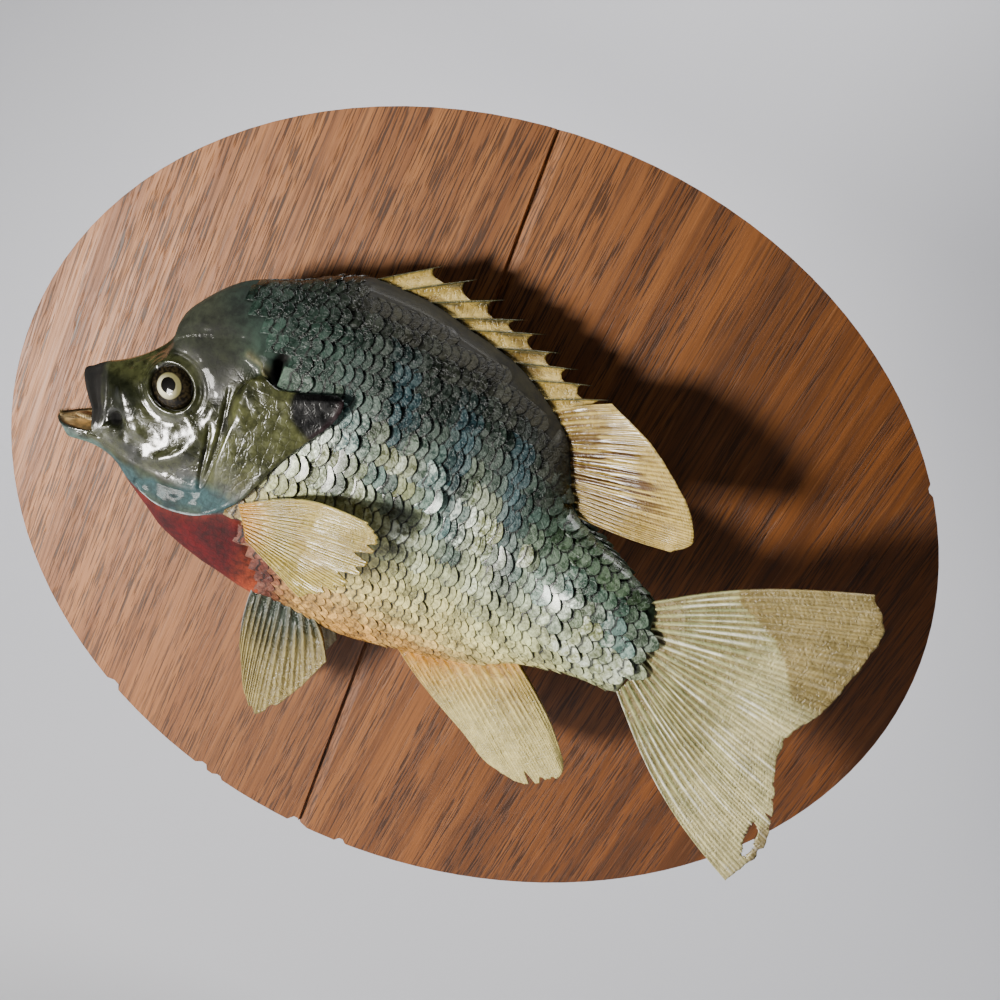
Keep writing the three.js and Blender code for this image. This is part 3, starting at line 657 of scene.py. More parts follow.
def main_skin():
    """The body's skin with the mouth's lining: the loft pushed out along its normals by the relief.

    Rings run from the back of the mouth to the lips, and then from the lips to the tail root, close
    together on the head and wider apart under the scales.
    """
    angle = np.concatenate([
        np.linspace(-np.pi / 2, np.pi / 2, NEAR_POINTS, endpoint=False),
        np.linspace(np.pi / 2, 3 * np.pi / 2, FAR_POINTS, endpoint=False),
    ])
    fine = np.linspace(0, LAST, 4000)
    side_x, side_z = section(fine)[4:6]
    stretch = np.hypot(np.gradient(side_x), np.gradient(side_z)) + np.gradient(fine) * 1.2
    density = np.where(side_x < HEAD_END, 1 / HEAD_RING, 1 / FLANK_RING)
    place = np.cumsum(stretch * density)
    count = int(place[-1] - place[0])
    stations = np.interp(np.linspace(place[0], place[-1], count), place, fine)
    outer = body(stations[:, None], angle[None, :])
    shares = np.linspace(0.05, 1, LINING_RINGS + 1)[:-1]
    normal = normals_of(outer)
    centre = outer.mean(1, keepdims=True)
    if np.einsum("ijk,ijk->", normal, outer - centre) < 0:
        normal = -normal
    x, z = outer[..., 0], outer[..., 2]
    relief = head_relief(x, z)
    below_top = z.max(1, keepdims=True) - z
    ridge = (1 - rise(below_top, 1.6, 4.2)) * rise(x, -52, -46) * (1 - rise(x, 5, 10))
    coat = coat_depth(x, z)
    cover = inside_outline(x, z, COVER_FRONT + COVER_REAR[::-1])
    under = 0.7 * rise(line_distance(x, z, COVER_FRONT)[0], 0.3, 1.6)
    relief = np.where(cover, np.minimum(relief, 0) - under, relief)
    flank_side = rise(np.abs(outer[..., 1]), 0.6, 2.5)
    lip = stations[:, None] * np.ones_like(angle)
    relief = relief * flank_side * rise(lip, 0.25, 0.9) + 0.28 * hill(lip - 0.12, 0.16)
    upper = np.sin(angle)[None, :] + 0 * lip
    slab = (1 - rise(lip, 1.02, 1.2)) * rise(upper, 0.02, 0.1)
    relief -= 0.6 * hill(lip - 0.62, 0.3) * rise(upper, 0.05, 0.25) * flank_side
    outer = outer + normal * (relief - coat)[..., None]
    near_side = np.cos(angle) > 0
    quarter = np.clip(-angle / (np.pi / 2), 0, 1)
    sag = 3.4 * (1 - quarter) ** 0.8 * (1 - rise(angle, 0.0, 0.22)) * near_side
    outer[..., 2] -= sag[None, :] * (1 - rise(lip, 0.3, 2.1))
    lining = THROAT_BACK + shares[:, None, None] * (outer[0] - THROAT_BACK)
    lining[..., 2] -= 1.0 * np.sin(np.pi * shares)[:, None] * (np.sin(angle) < -0.05)
    colour, gloss, small = skin_values(outer)
    colour = mix(colour, DORSAL_BROWN, ridge)
    gloss = gloss * (1 - 0.95 * ridge)
    colour = mix(colour, JAW_BLACK_AND_SOCKET_SHADE, slab)
    gloss = gloss * (1 - (1 - rise(lip, 1.2, 1.6)) * rise(upper, 0.02, 0.1))
    near_lip = (1 - rise(lip, 0.1, 0.3)) * (1 - rise(upper, -0.1, 0.05))
    colour = mix(colour, JAW_BLACK_AND_SOCKET_SHADE, 0.75 * near_lip)
    inner_share = shares[:, None] * np.ones_like(angle)
    floor_ = 1 - rise(np.sin(angle)[None, :] + 0 * inner_share, -0.25, 0.1)
    lined = mix(np.broadcast_to(JAW_BLACK_AND_SOCKET_SHADE, lining.shape), LINING, floor_ * rise(inner_share, 0.15, 0.55))
    # Painted shade deep in the mouth, towards the back of the throat.
    lined = mix(lined, SHADE_BLACK, 1 - rise(inner_share, 0.05, 0.4))
    lined = mix(lined, JAW_BLACK_AND_SOCKET_SHADE, 0.9 * rise(inner_share, 0.86, 0.95))
    flat = np.concatenate([lining, outer])
    rings = len(flat)
    ends = np.stack([THROAT_BACK, flat[-1].mean(0) + np.array([ROOT_END, 0, 0])])
    points = np.concatenate([bend(flat).reshape(-1, 3), bend(ends)])
    faces = [grid_faces(rings, len(angle), closed=True)]
    around = np.arange(len(angle))
    ahead = (around + 1) % len(angle)
    poles, last_ring = rings * len(angle), (rings - 1) * len(angle)
    first_fan = np.stack([np.full_like(around, poles), ahead, around], -1)
    last_fan = np.stack([np.full_like(around, poles + 1), last_ring + around, last_ring + ahead], -1)
    faces += [first_fan, last_fan]

    def whole(inner, skin, at_ends):
        value = np.concatenate([inner, skin])
        return np.concatenate([value.reshape(-1, *value.shape[2:]), at_ends])

    values = {
        # The pole at the back of the throat carries the same painted shade.
        "marking": whole(lined, colour, np.stack([SHADE_BLACK, colour[-1].mean(0)])),
        "gloss": whole(np.full(lining.shape[:2], 0.6), gloss, np.array([0.6, 0.5])),
        "small_scales": whole(np.zeros(lining.shape[:2]), small, np.zeros(2)),
    }
    return points, outward(points, faces), values


def gill_cover(left, rows, columns):
    """A gill cover with its ear flap: a thin sheet from the cheek's groove to its free rear edge.

    Across it runs from the front line to the rear line. It starts below the cheek's skin, stands
    proud of the flank by a rounded step, and the flap stands off further by the square of the share.
    """
    u, v = np.meshgrid(np.linspace(0, 1, rows), np.linspace(0, 1, columns), indexing="ij")
    front, rear = along(COVER_FRONT, u), along(COVER_REAR, u)
    flat_xz = mix(front, rear, v)
    x, z = flat_xz[..., 0], flat_xz[..., 1]
    spots = on_plane(x, z)
    over = -0.55 + 1.3 * rise(v, 0.0, 0.13 + 0.75 * rise(u, 0.66, 0.8))
    flap = hill(u - 0.36, 0.14)
    over = over + 1.9 * flap * v**2.2 * (1 if left else 0.25)
    over = over + 0.28 * rise(v, 0.8, 1.0) * (1 - flap) * rise(u, 0.58, 0.7)
    over = over + 0.5 * (layered(spots, 4.5, 31) - 0.5) * rise(v, 0.0, 0.2)
    over = over + 0.35 * bell(x, z, (-63.4, 19.0), 2.2)
    rim = 1 - rise(np.minimum(np.minimum(1 - v, u * 6), (1 - u) * 6), 0.0, 0.05)
    edge_u = np.minimum(rise(u, 0, 0.03), rise(1 - u, 0, 0.03))
    over = over * edge_u - 0.5 * (1 - edge_u)
    thick = 0.28 + 0.5 * (1 - rise(v, 0.75, 1.0))
    wide = half_width(x, z)
    hand = 1 if left else -1
    outer = np.stack([x, hand * (wide + over - 0.12 * rim), z], -1)
    inner = np.stack([x, hand * (wide + over - thick), z], -1)
    cheek = skin_values(outer)[0]
    olive = mix(GILL_OLIVE, OLIVE_DARK, 0.7 * rise(layered(spots, 5.0, 12), 0.5, 0.75))
    blue = rise(0.18 * (x + 66) - z + 6.0 * (layered(spots, 4.0, 14) - 0.5), -4.0, 2.5)
    blue = blue * (0.55 + 0.45 * rise(layered(spots, 3.0, 15), 0.35, 0.6))
    colour = mix(olive, GILL_BLUE, blue * (1 - rise(z, 7, 14)))
    colour = mix(cheek, colour, np.maximum(rise(v, 0.4, 1.0), 1 - rise(u, 0.6, 0.72)))
    distance, _, side = line_distance(x, z, FLAP_FRONT)
    on_flap = rise(side * distance, -0.7, 0.7) * rise(x, -56, -54)
    colour = mix(colour, FLAP_BLACK, on_flap)
    flap_rim = rise(v, 0.9, 0.97) * rise(u, 0.3, 0.36) * (1 - rise(u, 0.5, 0.56))
    colour = mix(colour, FLAP_MAUVE, 0.8 * flap_rim)
    white = rise(v, 0.9, 0.97) * rise(u, 0.77, 0.83)
    colour = mix(colour, RIM_WHITE, 0.7 * white)
    # Painted shade in the groove where the cover comes out from under the cheek.
    groove = (1 - rise(v, 0.03, 0.1)) * rise(u, 0.1, 0.25) * (1 - rise(u, 0.6, 0.7))
    colour = mix(colour, SHADE_BLACK, 0.8 * groove)
    values = {
        "marking": colour,
        "gloss": (0.95 - 0.2 * on_flap) * (1 - 0.9 * rise(u, 0.62, 0.76)),
        "small_scales": (1 - on_flap) * rise(v, 0.1, 0.3),
    }
    keep = np.ones((rows - 1, columns - 1), bool)
    return sheet_between(bend(outer), bend(inner), keep, values)


def skin(material):
    """The one skin of the whole fish, with its gill covers and ear flaps."""
    points, faces, values = join(main_skin(), gill_cover(True, 120, 58), gill_cover(False, 60, 30))
    nodes = (
        "upper_jaw", "lower_jaw", "head", "trunk", "throat", "belly", "tail_stalk", "gill_cover_left",
        "gill_cover_right", "ear_flap_left", "ear_flap_right",
    )
    make_piece("skin", points, faces, values, nodes, material)


# ------------------------------------------------------------------ the scales

# Distance between the scales of one row, and between two rows, at x.
STEP = np.array([
    (-75, 2.2), (-60, 2.5), (-45, 2.5), (-25, 2.3), (-8, 2.15), (12, 2.2), (30, 2.45), (46, 2.6),
])
PITCH = np.array([(-75, 4.5), (-60, 5.0), (-45, 5.3), (-8, 5.5), (12, 5.0), (30, 4.35), (46, 4.0)])
CRACKS = [
    [(-17.9, 27.2), (-17.9, 24.0), (-17.3, 21.2)],
    [(-15.4, 26.6), (-14.9, 22.0), (-12.9, 16.0), (-10.6, 10.2)],
]
# Scales that stand up: centre and added lift.
RAISED = [
    ((18.0, 26.6), 2.4), ((22.6, 24.6), 2.0), ((12.6, 31.0), 1.6), ((41.0, 8.0), 1.0), ((41.6, 3.0), 1.0),
]
# Points of one scale: shares from root to rear edge, and places across it.
SCALE_ALONG = np.array([0, 0.5, 0.96, 1])
SCALE_ACROSS = np.array([-1, -0.94, -0.68, -0.36, 0, 0.36, 0.68, 0.94, 1])
SCALE_HALF = 0.68  # half height of a scale, in row distances
SCALE_ROOT = -0.95  # place of a scale's front edge, in steps behind its root
ARC = 1.107  # how far the rear edge falls back at a scale's ends, in steps
FLANK_FRONT, FLANK_REAR = -76.0, 44.2  # ends of the chart of the flank
CHART_COLUMNS = 420
CHART_HALF = 120  # rows of the chart from the middle of the side to its edge
PATCH = (0.0012, 0.0014)  # size of a scale's patch for baking, to one step and to one half height


class Flank:
    """A chart of the fish's left flank: place and normal at x and at arc length v up from the side."""

    def __init__(self):
        rows = 2 * CHART_HALF + 1
        self.xs = np.linspace(FLANK_FRONT, FLANK_REAR, CHART_COLUMNS)
        angle = np.radians(np.linspace(-90, 90, rows))
        rings = body(station_at(self.xs)[:, None], angle[None, :])
        rings[..., 0] = self.xs[:, None]
        step = np.linalg.norm(np.diff(rings[..., 1:], axis=1), axis=-1)
        length = np.concatenate([np.zeros((len(self.xs), 1)), np.cumsum(step, 1)], 1)
        length -= length[:, CHART_HALF, None]
        self.up, self.down = length[:, -1], -length[:, 0]
        shares = np.linspace(-1, 1, rows)
        self.grid = np.empty((CHART_COLUMNS, rows, 3))
        for i, ring in enumerate(rings):
            wanted = np.where(shares > 0, shares * self.up[i], shares * self.down[i])
            for axis in range(3):
                self.grid[i, :, axis] = np.interp(wanted, length[i], ring[:, axis])
        normal = normals_of(self.grid)
        self.normal = normal if normal[CHART_COLUMNS // 2, CHART_HALF, 1] > 0 else -normal

    def at(self, x, v):
        """Flat place and normal at x and v, by bilinear steps through the chart."""
        inside = np.clip(x, self.xs[0], self.xs[-1])
        up, down = (np.interp(inside, self.xs, span) for span in (self.up, self.down))
        share = np.clip(v / np.where(v > 0, up, down), -1, 1)
        i = (inside - self.xs[0]) / (self.xs[1] - self.xs[0])
        j = (share + 1) * CHART_HALF
        i0 = np.minimum(i.astype(int), CHART_COLUMNS - 2)
        j0 = np.minimum(j.astype(int), 2 * CHART_HALF - 1)
        fi, fj = (i - i0)[..., None], (j - j0)[..., None]
        found = []
        for grid in (self.grid, self.normal):
            near = grid[i0, j0] * (1 - fj) + grid[i0, j0 + 1] * fj
            far = grid[i0 + 1, j0] * (1 - fj) + grid[i0 + 1, j0 + 1] * fj
            found.append(near * (1 - fi) + far * fi)
        place, normal = found
        place[..., 0] += x - inside
        over = np.maximum(x - inside, 0)
        place[..., 1] *= 1 - 0.12 * np.minimum(over, 5)
        normal /= np.linalg.norm(normal, axis=-1, keepdims=True)
        return place, normal, share


def scale_roots(flank):
    """Places of the scales, x and v: rows along the fish, each half a step behind the next.

    A row keeps its number times the pitch from the middle of the side, so rows draw together towards
    the tail, and the scales of neighbouring rows lean towards the head as they climb.
    """
    halves = [FLANK_FRONT]
    while halves[-1] < 60:
        halves.append(halves[-1] + 0.5 * float(straight(STEP, halves[-1])))
    halves = np.asarray(halves)
    rows = np.arange(-14, 15)
    place, row = np.meshgrid(np.arange(len(halves)), rows, indexing="ij")
    chosen = (place + row) % 2 == 0
    base, row = halves[place[chosen]], row[chosen].astype(float)
    squeeze = 1 - 0.016 * np.abs(row) - 0.10 * rise(-row, 2, 6)
    v = row * straight(PITCH, base) * squeeze
    x = base - 0.05 * v - 0.0016 * v * np.abs(v)
    v = row * straight(PITCH, x) * squeeze
    where, _, share = flank.at(x, v)
    behind = coat_line(x, where[:, 2])
    tail_end = 45.5 - 0.05 * (where[:, 2] - 6) ** 2
    keep = (behind > -0.4) & (x < np.maximum(tail_end, 40.5)) & (np.abs(share) < 0.985) & (x > -74)
    keep &= ~((back_top(x) - where[:, 2] < 3.0) & (x > -50) & (x < 6))
    keep &= line_distance(x - 1.2, where[:, 2], GILL_PIT)[0] > 1.9
    return x[keep], v[keep], row[keep]


def per_scale(values):
    """One value for each scale, ready to be spread over its points."""
    return values[:, None, None]


def coat(name, flank, left, material):
    """One flank's scales: each is a pointed plate, buried at its root and lifted at its rear edge.

    Across a scale b runs from -1 to 1. Its rear edge lies at step * (1 - ARC b^2), and its face climbs
    from the skin with the distance w behind its root, as (0.04 + 0.96 ((w + 0.95) / 1.95)^0.9).
    """
    random = np.random.default_rng(7 if left else 8)
    x0, v0, count = scale_roots(flank)
    total = len(x0)
    jitter = random.normal(0, 1, (5, total))
    step = straight(STEP, x0)
    pitch = straight(PITCH, x0) * (1 - 0.032 * np.abs(count)) * (1 - 0.12 * rise(-count, 2, 6))
    root_place = flank.at(x0, v0)[0]
    root_z = root_place[:, 2]
    dull = under_dorsal(x0, root_z)
    rough = rise(layered(on_plane(x0, root_z * 0.3), 3.2, 71), 0.48, 0.72)
    lift = (0.78 + 0.12 * jitter[0] + 0.75 * rough) * (0.45 + 0.55 * rise(root_z, -20, -2))
    shift = 0.05 * step * jitter[1]
    for centre, more in RAISED:
        lift += more * bell(x0, root_z, centre, 2.2)
    for line in CRACKS:
        distance, share, side = line_distance(x0 + step * 0.6, root_z, line)
        near = hill(distance, 1.9) * np.sin(np.pi * np.clip(share, 0.05, 0.95))
        shift -= side * 0.55 * near
        lift += 1.1 * near * (side < 0)
    a, b = np.meshgrid(SCALE_ALONG, SCALE_ACROSS, indexing="ij")
    edge = 1 - ARC * b**2
    where = SCALE_ROOT + (edge - SCALE_ROOT) * a
    past = 1 / SCALE_HALF - np.abs(b)
    cover = np.maximum(edge - 1, np.where(past < 1, 0.5 - ARC * past**2, -9))
    local_x = where * per_scale(step) * per_scale(1 + 0.04 * jitter[2])
    local_v = b * per_scale(SCALE_HALF * pitch)
    x = per_scale(x0) + per_scale(shift) + local_x
    v = per_scale(v0) * straight(PITCH, x) / per_scale(straight(PITCH, x0))
    v = v + local_v + 0.06 * per_scale(jitter[3]) * local_x
    climb = 0.04 + 0.96 * ((where - SCALE_ROOT) / (1 - SCALE_ROOT)) ** 0.9
    place, normal, _ = flank.at(x, v)
    depth = coat_depth(place[..., 0], place[..., 2])
    tall = per_scale(coat_depth(x0 + step, root_z) * lift) * climb
    tilt = 0.05 * per_scale(jitter[4]) * b * (depth / COAT)
    thick = 0.2 * depth / COAT
    top = place + normal * (tall + tilt - depth + 0.02)[..., None]
    low = place + normal * (np.minimum(tall + tilt - thick, 0.6 * tall) - depth - 0.02)[..., None]
    seen = np.ones(total, bool)
    if not left:
        top[..., 1] *= -1
        low[..., 1] *= -1
        seen = height_at(x0) - root_place[:, 1] > 1.6
    rim = rim_index(*a.shape)
    size = a.size
    flat = np.concatenate([top.reshape(total, size, 3), low.reshape(total, size, 3)[:, rim]], 1)[seen]
    total = len(flat)
    each = size + len(rim)
    start = per_scale(np.arange(total)) * each
    top_one = grid_faces(*a.shape)
    ring = np.arange(len(rim))
    ahead = (ring + 1) % len(rim)
    wall_one = np.stack([rim[ahead], rim[ring], size + ring, size + ahead], -1)
    under_one = (size + ring)[None]
    one = [top_one, wall_one, under_one]
    mark_x, mark_z = x0 + 0.35 * step, root_z
    tone = random.random(len(x0))
    colour = flank_marking(mark_x, mark_z) * (0.74 + 0.52 * tone)[:, None]
    pink = breast_tint(mark_x, mark_z)
    colour = mix(colour, PEACH, 0.5 * pink)
    colour = mix(colour, THROAT_PINK, 0.85 * pink * rise(-x0, 35, 46))
    first_rows = (1 - rise(coat_line(mark_x, mark_z), 1.5, 5.5)) * (1 - rise(mark_z, -3, 3))
    colour = mix(colour, THROAT_RED, 0.75 * first_rows)
    own = {
        "marking": colour,
        "tone": tone,
        # Share of silvery paint and of painted glints.
        "silver_and_glint": silver_and_glint_share(mark_x, mark_z) * (1 - dull),
        "gloss": (1 - 0.9 * dull) * (1 - 0.5 * pink),
        # How strong the painted gap and rim shade is: weaker on the belly.
        "outline": 0.4 + 0.6 * rise(mark_z - 0.1 * mark_x, -24, -8),
    }
    behind = (edge - where).ravel()
    values = {key: np.repeat(value[seen], each, 0) for key, value in own.items()}
    # Distance from the edge of the covering scale, where the painted gap shade lies.
    values["buried"] = np.tile(with_rim(where - cover, rim), total)
    # Lowered on the walls, so the painted rim shade covers them too.
    values["rear_edge"] = np.tile(np.concatenate([behind, behind[rim] - 0.3]), total)
    local = (with_rim(where, rim) * PATCH[0], with_rim(b, rim) * PATCH[1])
    values["OFBake"] = bake_patches(x0[seen], v0[seen], local, left)
    points = bend(flat.reshape(-1, 3))
    faces = [(group[None] + start).reshape(-1, group.shape[1]) for group in one]
    make_piece(
        name, points, outward(points, faces, one), values, (), material, crisp=(2,),
    )


def rim_index(rows, columns):
    """Indices of the border points of a grid, in order round it."""
    index = np.arange(rows * columns).reshape(rows, columns)
    return np.concatenate([index[0, :-1], index[:-1, -1], index[-1, :0:-1], index[:0:-1, 0]])


def with_rim(grid, rim):
    """A scale's values on its upper face, and again on the rim of its under face."""
    return np.concatenate([grid.ravel(), grid.ravel()[rim]])


def breast_tint(x, z):
    """Share of peach on the breast and the front of the belly."""
    return (1 - rise(z + 0.35 * (x + 40), -14, -6)) * (1 - rise(x, -34, -18))


def silver_and_glint_share(x, z):
    """Share of silvery paint and painted glints on the scales: strongest in a band along the middle of the
    flank.
    """
    over = over_back_line(x, z)
    patch = layered(on_plane(x + 0.3 * z, 0.7 * z), 6.0, 75)
    share = np.minimum(hill(over + 11, 9) * (0.2 + 1.5 * rise(patch, 0.44, 0.62)) + 0.06, 1)
    return share * rise(x - 0.5 * z, -74, -58)


def bake_patches(x0, v0, local, left):
    """UV patches for baking: each scale's own patch, at its root's place on an unwrap of the flank."""
    u = 0.03 + 0.94 * (x0 - FLANK_FRONT) / 125
    v = 0.25 + 0.23 * v0 / 60 + (0 if left else 0.5)
    return np.stack([u[:, None] + local[0], v[:, None] + local[1]], -1).reshape(-1, 2)


# ------------------------------------------------------------------ the fins

CREAM = paint(218, 196, 134)
GOLD = paint(172, 146, 82)
TAN = paint(128, 98, 54)
FIN_BROWN = paint(84, 60, 32)
SPINE_GREEN = paint(40, 54, 44)
TAIL_GREEN = paint(140, 148, 108)
TAIL_TAN = paint(138, 122, 84)
PECTORAL_ORANGE = paint(206, 146, 76)
PELVIC_GREY = paint(116, 108, 74)
BASE_BLUE = paint(50, 66, 70)
SILVER_CREAM = paint(206, 204, 166)
# Near white painted on the tail as highlights along its rays.
GLINT = paint(244, 242, 224)
PALE_GREEN = paint(196, 190, 142)

# Each fin: root line and margin in x and z, rays, how far the margin dips between rays, bow of the
# outer rays, distance from the middle sheet at root and margin, grid points between two rays, rows,
# ridge height, how ragged the margin is, how dark the painted shade in the troughs is, and how far the
# ridges fade out.
FINS = {
    "dorsal_fin_spiny": {
        "root": [
            (-51.0, 55.4), (-45.6, 55.2), (-40.0, 55.2), (-33.6, 54.8), (-28.2, 54.4), (-21.0, 53.2),
            (-16.0, 51.8), (-10.8, 49.6), (-5.2, 46.6), (-1.8, 45.0),
        ],
        "margin": [
            (-34.4, 67.0), (-26.6, 67.1), (-18.8, 65.6), (-12.4, 63.5), (-7.0, 62.4), (-2.2, 60.0),
            (2.8, 58.3), (7.6, 56.7), (12.3, 55.6), (15.3, 55.0),
        ],
        "rays": 10, "notch": 0.20, "bow": (0, 0), "lift": (0, -1.0),
        "fine": 24, "rows": 34, "ridge": 0.5, "ragged": 0.02, "trough": 0.3, "flat": 0.3,
    },
    "dorsal_fin_soft": {
        "root": [(-1.0, 44.8), (3.8, 41.0), (7.2, 36.6), (9.4, 32.6), (11.4, 29.6), (13.2, 27.0)],
        "margin": [(13.2, 55.3), (23.3, 52.1), (32.4, 46.8), (39.0, 41.4), (41.9, 36.6), (38.8, 32.0)],
        "rays": 11, "notch": 0.003, "bow": (0.5, 0.4), "lift": (0, 1.0),
        "fine": 20, "rows": 60, "ridge": 0.36, "ragged": 0.006, "trough": 0.8, "flat": 0.6,
    },
    "anal_fin": {
        "root": [(-9.5, -25.8), (-3, -24.4), (3.5, -22.6), (10, -19.4), (16, -15.6), (19.6, -12.8)],
        "margin": [
            (15.0, -42.4), (25.0, -46.0), (33.0, -45.4), (38.4, -40.8), (41.4, -35.4), (38.4, -30.4),
        ],
        "rays": 12, "notch": 0.004, "bow": (1.4, 1.0), "lift": (0, -5.5),
        "fine": 18, "rows": 60, "ridge": 0.32, "ragged": 0.02, "trough": 0.45, "flat": 0.85,
    },
    "caudal_fin": {
        "root": [(39.6, 18.2), (42.2, 14.2), (43.6, 10.0), (44.4, 5.6), (44.4, 0.8), (43.2, -4.8)],
        "margin": [
            (78.4, 45.6), (84.6, 37.4), (83.4, 20.0), (79.4, 4.4), (85.4, -10.6), (88.4, -21.6),
            (85.4, -33.4),
        ],
        "rays": 17, "notch": 0.005, "bow": (2.4, 2.8), "lift": (0, 0),
        "fine": 20, "rows": 90, "ridge": 0.42, "ragged": 0.018, "trough": 0.4, "flat": 0.45,
    },
    "pectoral_fin_left": {
        "root": [(-57.4, -0.4), (-56.4, -2.2), (-55.2, -4.2), (-54.2, -6.2), (-53.2, -8.2)],
        "margin": [(-26.5, 12.0), (-22.9, 8.8), (-23.0, 2.4), (-26.4, -5.4), (-34.4, -11.6)],
        "rays": 12, "notch": 0.01, "bow": (3.0, 0.4), "lift": (13.9, 24.2),
        "fine": 18, "rows": 64, "ridge": 0.42, "ragged": 0.02, "trough": 0.55, "flat": 0.85,
    },
    "pectoral_fin_right": {
        "root": [(-58.2, -1.0), (-57.2, -3.0), (-55.8, -5.0), (-54.6, -7.0), (-53.4, -8.8)],
        "margin": [(-32.0, -9.0), (-26.0, -14.0), (-25.0, -20.0), (-29.0, -25.0), (-37.0, -26.5)],
        "rays": 12, "notch": 0.03, "bow": (1.6, 1.0), "lift": (14.2, 13.4),
        "fine": 8, "rows": 30, "ridge": 0.18, "ragged": 0.04, "trough": 0.5, "flat": 0.5,
    },
    "pelvic_fin_left": {
        "root": [(-48.2, -22.5), (-44.4, -23.6), (-40.2, -24.2), (-36.0, -24.8), (-31.5, -25.0)],
        "margin": [(-45.8, -41.0), (-39.6, -54.2), (-35.2, -58.8), (-28.4, -49.4), (-23.4, -35.8)],
        "rays": 7, "notch": 0.005, "bow": (0.8, 0.8), "lift": (4.6, 6.0),
        "fine": 26, "rows": 60, "ridge": 0.55, "ragged": 0.03, "trough": 0.5, "flat": 0.8,
    },
}
FINS["pelvic_fin_right"] = {**FINS["pelvic_fin_left"], "fine": 16, "rows": 40}


# Tears in the margins: ray number, depth as a share of the ray, half width in rays.
TEARS = {
    "pectoral_fin_left": [
        (3.6, 0.05, 0.3), (4.8, 0.12, 0.45), (6.0, 0.07, 0.3), (7.0, 0.13, 0.4), (8.2, 0.07, 0.25),
        (9.0, 0.10, 0.3),
    ],
    "anal_fin": [(5.6, 0.11, 0.25), (6.6, 0.04, 0.3)],
    "caudal_fin": [(11.2, 0.05, 0.12)],
    "pelvic_fin_left": [(2.6, 0.03, 0.3), (3.7, 0.04, 0.2)],
}
TAIL_HOLE = {"x": 84.7, "z": -20.8, "long": 4.6, "wide": 1.15, "lean": 13}
HOLE_ACROSS = (0.974, 0.225)  # direction across the hole
# Edge of the tan upper corner of the tail: z, x.
TAIL_EDGE = np.array([(14.0, 76.5), (17.1, 74.9), (26.0, 66.9), (29.7, 55.9), (40, 50.0)])


def fin_place(fin, u, v):
    """Flat mid-sheet points of a fin at share u over its rays and share v from root to margin.

    Each ray is straight, but the outer rays bow outwards by a half sine along their length.
    """
    root, tip = along(fin["root"], u), along(fin["margin"], u)
    ray = tip - root
    first, last, outer = np.array(fin["root"][0]), np.array(fin["root"][-1]), np.array(fin["margin"][0])
    span, way = last - first, outer - first
    outwards = 1 if span[0] * way[1] - span[1] * way[0] > 0 else -1
    bend_by = np.where(u < 0.5, fin["bow"][0], fin["bow"][1]) * (1 - 2 * u) * np.sin(np.pi * v)
    bow = outwards * bend_by / np.linalg.norm(ray, axis=-1)
    side = fin["lift"][0] + (fin["lift"][1] - fin["lift"][0]) * v
    x = root[..., 0] + ray[..., 0] * v - ray[..., 1] * bow
    z = root[..., 1] + ray[..., 1] * v + ray[..., 0] * bow
    return np.stack([x, side, z], -1)


def fin_ridges(w, v, spiny):
    """Height of the rays from 0 to 1 at ray number w: each splits in two, and again nearer the margin."""
    whole = (0.5 + 0.5 * np.cos(2 * np.pi * w)) ** (9 if spiny else 2.2)
    if spiny:
        return whole + 0.16 * (0.5 + 0.5 * np.cos(2 * np.pi * w * 4))
    halves = (0.5 + 0.5 * np.cos(4 * np.pi * w)) ** 1.8
    quarters = (0.5 + 0.5 * np.cos(8 * np.pi * w)) ** 1.5
    first, second = rise(v, 0.10, 0.34), rise(v, 0.42, 0.75)
    return whole * (1 - first) + halves * first * (1 - 0.6 * second) + quarters * second * 0.6


